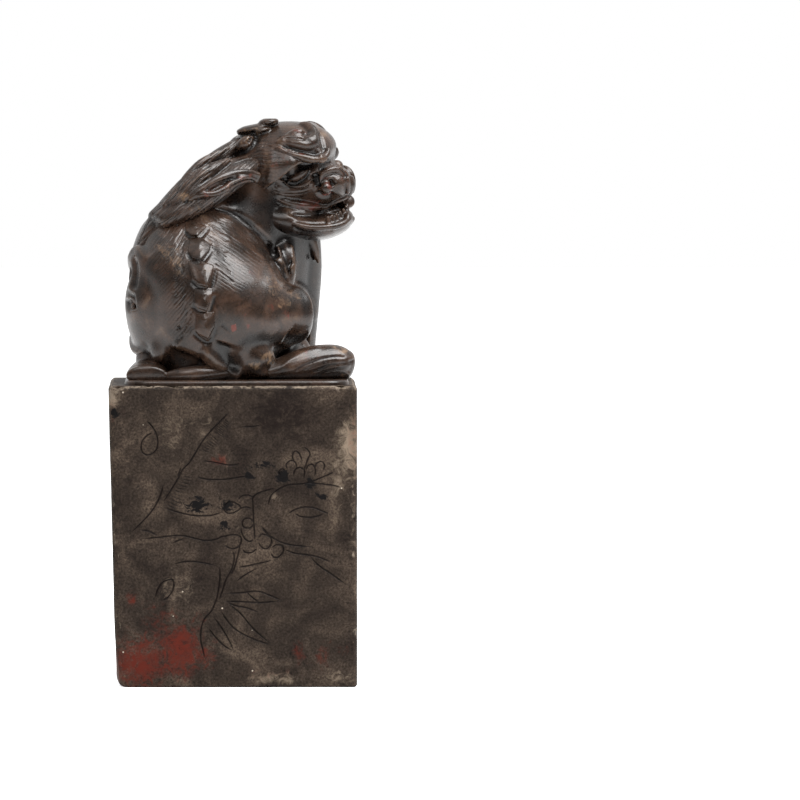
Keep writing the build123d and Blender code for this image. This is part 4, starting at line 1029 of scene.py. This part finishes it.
lies = [along_lock(points, NAPE, (0.45, -0.89, 0)), along_lock(points, TRESS, TRESS_LIE),
        along_lock(points, SHOULDER, (0, 1, 0))]
chosen = np.argmin(np.stack([lies[0][1] / 1.5, lies[1][1], lies[2][1]]), 0)
strand = np.choose(chosen, [lie[0] for lie in lies])
facing_front = -normals[:, 1] > 0.4
strand = np.where(facing_front, points[:, 0] * 0.66 - points[:, 2] * 0.75, strand)
deep_lines = np.sin((strand + 0.22 * ripple(points, 8, 4)) * 2 * math.pi / np.where(facing_front, 0.95, 1.3))
in_hole = np.linalg.norm(np.cross(points - hole_place, hole_axis), axis=1) < HOLE_R + 0.4
points -= normals * (np.clip(deep_lines, 0, 1) * np.where(facing_front, 0.13, 0.24) * ~in_hole)[:, None]
set_skin(mane, points)
keep_on(mane.data, "blush", np.full(len(points), 0.3))
keep_on(mane.data, "tan", np.clip(ripple(points, 5, 8), 0, 1) * 0.6)
finish_skin(mane, np.where(in_hole, 0, 0.9), strand, ["mane_nape", "mane_tress_side", "mane_tress_shoulder"])
mane.data.materials.append(polish)


# Head
# A heavy lion-like head: low dome, flame brows, almond eyes under a deep fold, wide nostrils, and a snarling lip.
HEAD_TURN = math.radians(8)
HEAD_Y, HEAD_LONG, HEAD_HALF, HEAD_H = 9.5, 30, 12.5, 28.6      # its middle's depth, length, half-width and height
side_way = np.array([math.sin(HEAD_TURN), math.cos(HEAD_TURN), 0.0])
head_way = np.array([math.cos(HEAD_TURN), -math.sin(HEAD_TURN), 0.0])
head_foot = np.array([0, HEAD_Y, FOOT + CROWN - HEAD_H])


def on_head(along, up):
    """A place on the head's middle plane, in shares of its length and height."""
    return head_foot + head_way * along * HEAD_LONG + np.array([0, 0, up * HEAD_H])


def beside(x, z, share):
    """A drawn place on the head, at a share of its half-width from its middle plane towards the viewer."""
    across, up = drawn(x, z)
    return np.array([across, HEAD_Y - math.tan(HEAD_TURN) * across - HEAD_HALF * share, up])


mass = []
for half_w, dome, table in (
        (12.5, 0.12, [(0.03, 0.62, 0.58, 0.235), (0.14, 0.622, 0.86, 0.325), (0.3, 0.611, 0.98, 0.369),
         (0.45, 0.628, 1.0, 0.371), (0.575, 0.628, 0.97, 0.36), (0.665, 0.605, 0.88, 0.33),
         (0.735, 0.57, 0.76, 0.262)]),
        (9.0, 0.12, [(0.56, 0.49, 1.0, 0.218), (0.69, 0.486, 1.0, 0.216), (0.796, 0.474, 0.98, 0.2),
         (0.875, 0.466, 0.9, 0.154), (0.93, 0.46, 0.78, 0.12), (0.95, 0.46, 0.58, 0.09)]),
        (10.5, 0.15, [(-0.02, 0.38, 0.5, 0.1), (0.1, 0.31, 0.66, 0.135), (0.22, 0.24, 0.82, 0.158),
         (0.4, 0.165, 1.0, 0.17), (0.59, 0.135, 0.96, 0.16), (0.74, 0.115, 0.84, 0.135),
         (0.87, 0.125, 0.66, 0.09), (0.935, 0.175, 0.44, 0.07)])):
    roll(mass, [list(on_head(a, u)) + [w * half_w, h * HEAD_H] for a, u, w, h in table], side_way, dome=dome)
roll(mass, [list(beside(x, z, 0)) + [w, h] for x, z, w, h in [(560, 470, 9, 5), (700, 480, 10, 6.5),
    (860, 500, 9.6, 6.5), (980, 500, 8.5, 5.0)]], side_way)
lump(mass, beside(1285, 405, 0.0), (3.2, 5.6, 2.9))
skull = melt("skull_mass", mass, 0.5, 20)
chisel(skull, "front", [
    ("groove", 2.1, 1.9, [(960, 455), (1020, 425), (1069, 388), (1130, 345), (1170, 335)]),
    ("groove", 1.3, 0.7, [(1040, 604), (1150, 606), (1230, 585)]),
    ("ridge", 2.4, 0.6, [(900, 330), (960, 330), (1040, 300)]),
])
clay = as_clay(skull)
shell = clay[0][0]


def front_of(x, z):
    """How far towards the viewer the bare head lies at a place in the picture."""
    gap = np.hypot(shell[:, 0] - x, shell[:, 2] - z)
    near = shell[gap < 0.6]
    return near[:, 1].min() if len(near) else shell[gap.argmin(), 1]


def ridge(clay, rows, flat_share=1.0):
    """A rolled ridge lying on the near side of the head: drawn places, how far its middle stands out, its radius."""
    table = []
    for x, z, lift, r in rows:
        across, up = drawn(x, z)
        table.append([across, front_of(across, up) - lift, up, r, r * flat_share])
    roll(clay, table, (0, -1, 0), steps=8, sides=18)


def knob(clay, x, z, lift, radii, turn=0.0, yaw=0.0):
    """An egg of clay whose middle stands out from the near side of the head."""
    across, up = drawn(x, z)
    lump(clay, (across, front_of(across, up) - lift, up), radii, turn, yaw)


first = len(clay)
ridge(clay, [(960, 212, -1.0, 1.1), (1014, 202, -1.1, 2.0), (1069, 212, -1.1, 2.2), (1118, 214, -1.0, 2.1),
    (1148, 196, -0.8, 1.7), (1154, 166, -0.8, 1.5), (1136, 138, -0.8, 1.4), (1110, 118, -1.0, 1.1),
    (1085, 110, -1.2, 0.7)])
knob(clay, 1046, 165, -0.5, (2.6, 1.5, 1.3), math.radians(22))
ridge(clay, [(950, 234, -0.1, 0.4), (1003, 252, 0.1, 0.6), (1058, 270, 0.2, 0.7), (1112, 284, 0.3, 0.75),
    (1162, 295, 0.4, 0.8), (1203, 290, 0.5, 0.85), (1225, 267, 0.5, 0.8), (1230, 243, 0.2, 0.5)])
knob(clay, 1066, 384, -0.35, (3.3, 1.5, 1.35), math.radians(31), -0.15)
ridge(clay, [(987, 420, 0.1, 0.3), (1025, 443, 0.3, 0.42), (1080, 446, 0.4, 0.45), (1123, 427, 0.4, 0.42),
    (1151, 400, 0.2, 0.3)])
knob(clay, 1214, 457, -0.3, (1.75, 1.9, 1.75))
ridge(clay, [(1181, 425, 0.0, 0.5), (1190, 382, 0.1, 0.75), (1233, 357, 0.2, 0.95), (1290, 358, 0.2, 0.95),
    (1322, 384, 0.1, 0.85), (1333, 432, 0.0, 0.8), (1336, 478, -0.1, 0.6)])
ridge(clay, [(950, 512, -0.5, 0.5), (1010, 534, -0.4, 1.2), (1080, 550, -0.3, 1.6), (1145, 556, -0.2, 1.7),
    (1192, 560, -0.1, 1.3), (1222, 557, 0.0, 0.8)], 0.8)
ridge(clay, [(1215, 560, 0.0, 0.6), (1249, 545, 0.0, 0.5), (1293, 523, 0.0, 0.45), (1335, 504, 0.0, 0.4)])
ridge(clay, [(1030, 640, -0.3, 0.4), (1080, 660, 0.0, 0.7), (1156, 671, 0.2, 0.8), (1244, 666, 0.2, 0.85),
    (1305, 650, 0.2, 0.85), (1340, 624, 0.1, 0.8)])
for points, faces in clay[first:]:
    off = (points - np.array([0, HEAD_Y, 0])) @ side_way
    clay.append((points - 2 * off[:, None] * side_way, [face[::-1] for face in faces]))
for x, z, r in [(1180, 318, 1.5), (1230, 330, 1.6), (1280, 338, 1.5)]:
    lump(clay, beside(x, z, 0.0), (r, r * 1.3, r))
roll(clay, [list(beside(x, z, 0)) + [w, w * 0.8] for x, z, w in [(1342, 400, 1.6), (1347, 445, 1.7),
    (1338, 490, 1.3)]], side_way, dome=0.4)
lump(clay, beside(1335, 622, 0.0), (1.5, 4.4, 2.0))
roll(clay, [list(beside(x, z, share)) + [1.7, 1.7] for x, z, share in [(1180, 570, -0.5), (1250, 566, -0.46),
    (1310, 552, -0.36), (1342, 528, -0.16)]], side_way, dome=0.4)
# Lower teeth, blunt and close, with the tongue behind them
for x, z, share in [(1225, 612, 0.6), (1248, 604, 0.53), (1271, 596, 0.44), (1292, 584, 0.34), (1311, 570, 0.22),
                    (1325, 556, 0.08)]:
    top, foot = beside(x, z, share), beside(x + 6, z + 42, share)
    off = (top - [0, HEAD_Y, 0]) @ side_way
    for over_by in (0 * side_way, 2 * off * side_way):
        roll(clay, [list(foot - over_by) + [0.66, 0.62], list(top - over_by) + [0.52, 0.46]], side_way, steps=4,
             sides=14, dome=0.6)
lump(clay, beside(1190, 600, 0.0), (5.2, 4.4, 1.7), math.radians(12))
# Near ear: a long leaf folded back, its rim rolled over a dark hollow
lock(clay, [(845, 385, -6.5, 0.9), (793, 370, -8.2, 1.0), (738, 372, -9.8, 1.05), (684, 385, -11.2, 1.1),
    (629, 407, -12.4, 1.1), (574, 440, -13.6, 1.0), (525, 473, -14.6, 0.85), (481, 511, -15.0, 0.5)], 1.0)
lock(clay, [(837, 412, -6.5, 0.8), (793, 400, -8.6, 1.0), (744, 408, -10.4, 1.15), (706, 430, -11.8, 1.0),
    (662, 460, -13.0, 0.9), (607, 482, -14.2, 0.8), (552, 484, -14.8, 0.7), (500, 504, -15.0, 0.4)], 1.0)
roll(clay, [[drawn(x, z)[0], y, drawn(x, z)[1], w, 0.9] for x, z, y, w in [(830, 398, -5.2, 1.3),
    (740, 395, -8.6, 1.7), (670, 425, -10.6, 2.2), (600, 458, -12.2, 1.7), (530, 490, -13.4, 1.0)]], (0.3, 0, 1))
# Far ear, rolled to a ring with a slit
roll(clay, sized([(-0.05, 0.37, 0.835, 0.6), (0.05, 0.53, 0.868, 1.0), (0.2, 0.65, 0.898, 0.86),
    (0.33, 0.69, 0.912, 0.42)], 4.5, 2.2), (0, 0, 1))
# Horn: two flat lobes lying back on the crown, and the small oval curl behind the ear
roll(clay, [[drawn(x, z)[0], 3.4, drawn(x, z)[1], w, h] for x, z, w, h in [(742, 154, 1.6, 0.7), (775, 146, 2.6, 1.1),
    (820, 138, 3.0, 1.2), (862, 128, 2.8, 1.1), (900, 118, 1.8, 0.8)]], (0, 1, 0), dome=0.6)
lump(clay, (drawn(907, 97)[0], 3.2, drawn(907, 97)[1]), (2.5, 2.6, 1.0), math.radians(6))
lump(clay, (drawn(868, 142)[0], 2.0, drawn(868, 142)[1]), (2.4, 2.6, 0.8), math.radians(12))
knob(clay, 780, 214, -0.1, (2.5, 1.7, 1.7), math.radians(38))
head = melt("snarling_head", clay, 0.26, 4)
chisel(head, "front", [
    ("groove", 0.8, 0.6, [(975, 234), (1020, 246), (1069, 257), (1134, 271), (1184, 282)]),
    ("groove", 0.7, 0.35, [(1096, 176), (1096, 192), (1112, 198), (1128, 186)]),
    ("groove", 0.6, 0.5, [(985, 192), (1020, 180), (1060, 184), (1092, 180), (1106, 160)]),
    ("groove", 0.45, 0.5, [(1180, 150), (1196, 200), (1208, 245)]),
    ("step", 0.28, 1.25, 1.8, [(877, 464), (905, 442), (943, 415), (981, 385), (1019, 355), (1058, 328), (1102, 312),
                              (1162, 310), (1205, 312), (1228, 296)]),
    ("groove", 0.45, 0.8, [(978, 424), (1006, 386), (1044, 350), (1092, 332), (1140, 332)]),
    ("groove", 0.28, 0.5, [(1004, 428), (1055, 430), (1108, 402), (1138, 358)]),
    ("groove", 0.9, 0.9, [(1150, 372), (1162, 410), (1172, 450)]),
    ("groove", 0.2, 0.16, [(932, 459), (1003, 472), (1080, 470), (1134, 452)]),
    ("groove", 0.2, 0.16, [(932, 474), (1003, 490), (1080, 487), (1140, 467)]),
    ("groove", 0.2, 0.14, [(943, 490), (1014, 506), (1080, 504), (1134, 485)]),
    ("groove", 0.6, 0.9, [(1172, 470), (1196, 500), (1234, 500), (1256, 478)]),
    ("groove", 0.55, 1.0, [(1244, 400), (1254, 424), (1268, 440)]),
    ("groove", 0.45, 0.6, [(1300, 345), (1318, 372), (1330, 400)]),
    ("groove", 0.7, 0.6, [(1010, 584), (1060, 596), (1110, 600), (1160, 598), (1215, 584)]),
    ("groove", 0.5, 0.4, [(1040, 668), (1091, 690), (1178, 698), (1255, 690)]),
    ("groove", 0.8, 1.2, [(700, 462), (740, 440), (790, 424), (830, 432)]),
    ("groove", 0.3, 0.5, [(560, 466), (620, 430), (690, 404), (760, 392)]),
    ("groove", 0.4, 0.9, [(796, 212), (808, 192), (820, 178)]),
    ("groove", 0.4, 0.5, [(742, 164), (800, 156), (850, 152)]),
    ("groove", 0.8, 0.6, [(742, 250), (770, 262), (812, 240), (836, 200), (846, 165)]),
] + fan([(760, 300), (820, 262), (900, 240)], [(800, 360), (860, 325), (930, 290)], 9, 0.22, 0.14, 21)
  + fan([(850, 200), (900, 210), (940, 222)], [(870, 235), (910, 232), (945, 236)], 4, 0.2, 0.14, 22)
  + fan([(590, 300), (640, 262), (720, 262)], [(640, 372), (700, 330), (770, 310)], 9, 0.22, 0.15, 23))
chisel(head, "far", [("groove", 0.9, 1.5, [(12, 126.5), (16, 128.5), (20, 129.5)])])
points = skin_of(head)[0]
skull_middle = on_head(0.4, 0.6)
skull_way = np.arctan2((points - skull_middle) @ side_way, points[:, 2] - skull_middle[2])
crown_hair = np.clip(1.15 - inside(points, [(1010, 120), (1100, 60), (1400, 100), (1400, 720), (930, 720), (900, 480),
                                            (1000, 330), (1000, 260), (960, 220)], 3.0), 0, 1)
ear_hair = inside(points, [(470, 500), (700, 360), (860, 360), (860, 430), (640, 500), (470, 530)], 0.8)
near_horn = inside(points, [(700, 60), (960, 60), (960, 140), (830, 180), (830, 250), (720, 260), (700, 170)], 0.8)
crown_hair = crown_hair * (1 - ear_hair) * (1 - near_horn)
keep_on(head.data, "blush", stained(points, [
    ([(900, 260), (1040, 290), (1010, 330), (900, 380), (850, 330)], 2.5, 0.5),
    ([(1180, 400), (1255, 400), (1255, 500), (1180, 500)], 1.0, 0.62),
    ([(1280, 340), (1345, 340), (1345, 500), (1300, 500)], 1.2, 0.5),
    ([(1060, 520), (1200, 530), (1190, 580), (1060, 570)], 1.0, 0.75),
    ([(960, 150), (1100, 120), (1180, 230), (1100, 280), (950, 230)], 1.5, 0.5),
    ([(560, 440), (830, 370), (830, 420), (560, 500)], 1.0, 0.6)]))
on_horn = inside(points, [(740, 150), (900, 80), (960, 100), (860, 150), (850, 200), (760, 240), (740, 200)], 0.6)
keep_on(head.data, "tan", np.clip(ripple(points, 4, 6), 0, 1) * 0.5 * ear_hair + 0.35 * on_horn)
# Painted shade under the jaw is passed in with the hollows
finish_skin(head, np.maximum(crown_hair * 0.8, ear_hair * 0.4), skull_way * 9.0,
            ["skull", "muzzle", "lower_jaw", "nose", "teeth", "brow_right", "brow_left", "eye_right", "eye_left",
             "ear_right", "ear_left", "horn", "crown_curl"], painted_shade(points))
head.data.materials.append(polish)


# Spine plates
# Six shields overlapping like roof tiles down the back, each with a ridge and a lifted lower edge.
PLATES = [[(410, 569), (459, 566), (495, 574), (517, 590), (495, 609), (432, 607)],
          [(454, 634), (509, 631), (574, 656), (525, 705), (481, 700), (457, 678)],
          [(481, 716), (536, 712), (596, 749), (585, 793), (541, 834), (492, 822), (471, 793)],
          [(470, 836), (525, 833), (610, 860), (604, 910), (581, 978), (522, 966), (492, 938)],
          [(506, 981), (552, 986), (604, 981), (602, 1030), (572, 1108), (520, 1090), (500, 1068)],
          [(511, 1109), (558, 1115), (613, 1106), (615, 1188), (581, 1260), (525, 1232), (506, 1210)]]
bpy.context.view_layer.update()
clay = []
for outline in PLATES:
    ring = np.array([drawn(*p) for p in outline])
    middle, low, high = ring.mean(0), ring[:, 1].min(), ring[:, 1].max()
    tip = ring[ring[:, 1].argmin()]
    edge = np.vstack([np.linspace(a, b, 6)[:-1] for a, b in zip(ring, np.roll(ring, -1, 0))])
    rows = []
    for share, proud in ((0.0, 1.0), (0.4, 1.0), (0.75, 0.95), (0.93, 0.85), (1.0, 0.5), (1.0, -0.6), (0.7, -1.4),
                         (0.0, -1.6)):
        layer = []
        for x, z in middle + (edge - middle) * share:
            hits = [body.ray_cast((near / 1000, -0.1, z / 1000), (0, 1, 0))[1] for near in (x - 0.5, x, x + 0.5)]
            lift = proud
            if proud > 0:
                down = (high - z) / (high - low)
                ridge_x = middle[0] + (tip[0] - middle[0]) * np.clip(down, 0, 1)
                lift = proud * (0.3 + 0.95 * down) + 0.55 * proud * max(0, 1 - abs(x - ridge_x) / 1.8)
            layer.append((x, np.mean([hit.y * 1000 for hit in hits]) - lift, z))
        rows.append(layer)
    count = len(rows[0])
    plate_faces = between(len(rows), count)
    plate_faces += [tuple(range(count))[::-1], tuple(range((len(rows) - 1) * count, len(rows) * count))]
    clay.append((np.array([p for layer in rows for p in layer]), plate_faces))
plates = melt("spine_shields", clay, 0.16, 3)
points = skin_of(plates)[0]
keep_on(plates.data, "blush", np.full(len(points), 0.2))
keep_on(plates.data, "tan", np.clip(ripple(points, 3, 2), 0, 1) * 0.3)
finish_skin(plates, np.zeros(len(points)), points[:, 0], ["spine_plates"])
plates.data.materials.append(polish)


# Floor and light
# A white table that runs out of sight, a broad soft lamp overhead at the right, a wide one in front, and a white
# room behind, darker on the viewer's side, for the polished stone to reflect.
bpy.ops.mesh.primitive_plane_add(size=8, location=(0, 0, 0))
floor = bpy.context.object
floor.name = "table_top"
paper = blank_material("white_table")
rays = add_node(paper, "LightPath")
gloss = add_node(paper, "Math", {0: rays.outputs["Is Glossy Ray"], 1: 0.35}, operation="MULTIPLY").outputs[0]
seen = add_node(paper, "Math", {0: rays.outputs["Is Camera Ray"], 1: gloss}, operation="MAXIMUM").outputs[0]
seen = add_node(paper, "Math", {0: seen, 1: rays.outputs["Is Transmission Ray"]}, operation="MAXIMUM").outputs[0]
seen = add_node(paper, "Math", {0: seen, 1: 0.72}, operation="MULTIPLY").outputs[0]
matt = add_node(paper, "BsdfDiffuse", {"Color": colour("#f4f4f4")})
glow = add_node(paper, "Emission", {"Color": (1, 1, 1, 1), "Strength": seen})
mixed = add_node(paper, "AddShader", {0: matt.outputs[0], 1: glow.outputs[0]})
add_node(paper, "OutputMaterial", {"Surface": mixed.outputs[0]})
floor.data.materials.append(paper)

world = bpy.data.worlds.new("white_room")
bpy.context.scene.world = world
world.use_nodes = True
world.node_tree.nodes.clear()
rays = add_node(world, "LightPath")
white = add_node(world, "Math", {0: rays.outputs["Is Camera Ray"], 1: rays.outputs["Is Transmission Ray"]},
    operation="MAXIMUM").outputs[0]
way = add_node(world, "TexCoord").outputs["Generated"]
behind = add_node(world, "VectorMath", {0: way, 1: (0.0, 0.62, 0.78)}, operation="DOT_PRODUCT").outputs["Value"]
behind = add_node(world, "MapRange", {"Value": behind, "From Min": -0.15, "From Max": 0.75, "To Min": 0.06,
    "To Max": 0.95}).outputs["Result"]
soft = add_node(world, "Background", {"Color": (1, 1, 1, 1), "Strength": behind})
clear = add_node(world, "Background", {"Color": (1, 1, 1, 1), "Strength": 1.0})
mixed = add_node(world, "MixShader", {0: white, 1: soft.outputs[0], 2: clear.outputs[0]})
add_node(world, "OutputWorld", {"Surface": mixed.outputs[0]})
for name, place, aim, size, power in (("overhead_softbox", (0.42, -0.22, 0.95), (0, 0, 0.1), 0.72, 20.0),
                                      ("front_softbox", (-0.35, -1.15, 1.35), (0, 0, 0.08), 0.8, 10.0)):
    bpy.ops.object.light_add(type="AREA", location=place)
    lamp = bpy.context.object
    lamp.name = name
    lamp.data.size = size
    lamp.data.energy = power
    lamp.rotation_euler = (Vector(aim) - Vector(place)).to_track_quat("-Z", "Y").to_euler()
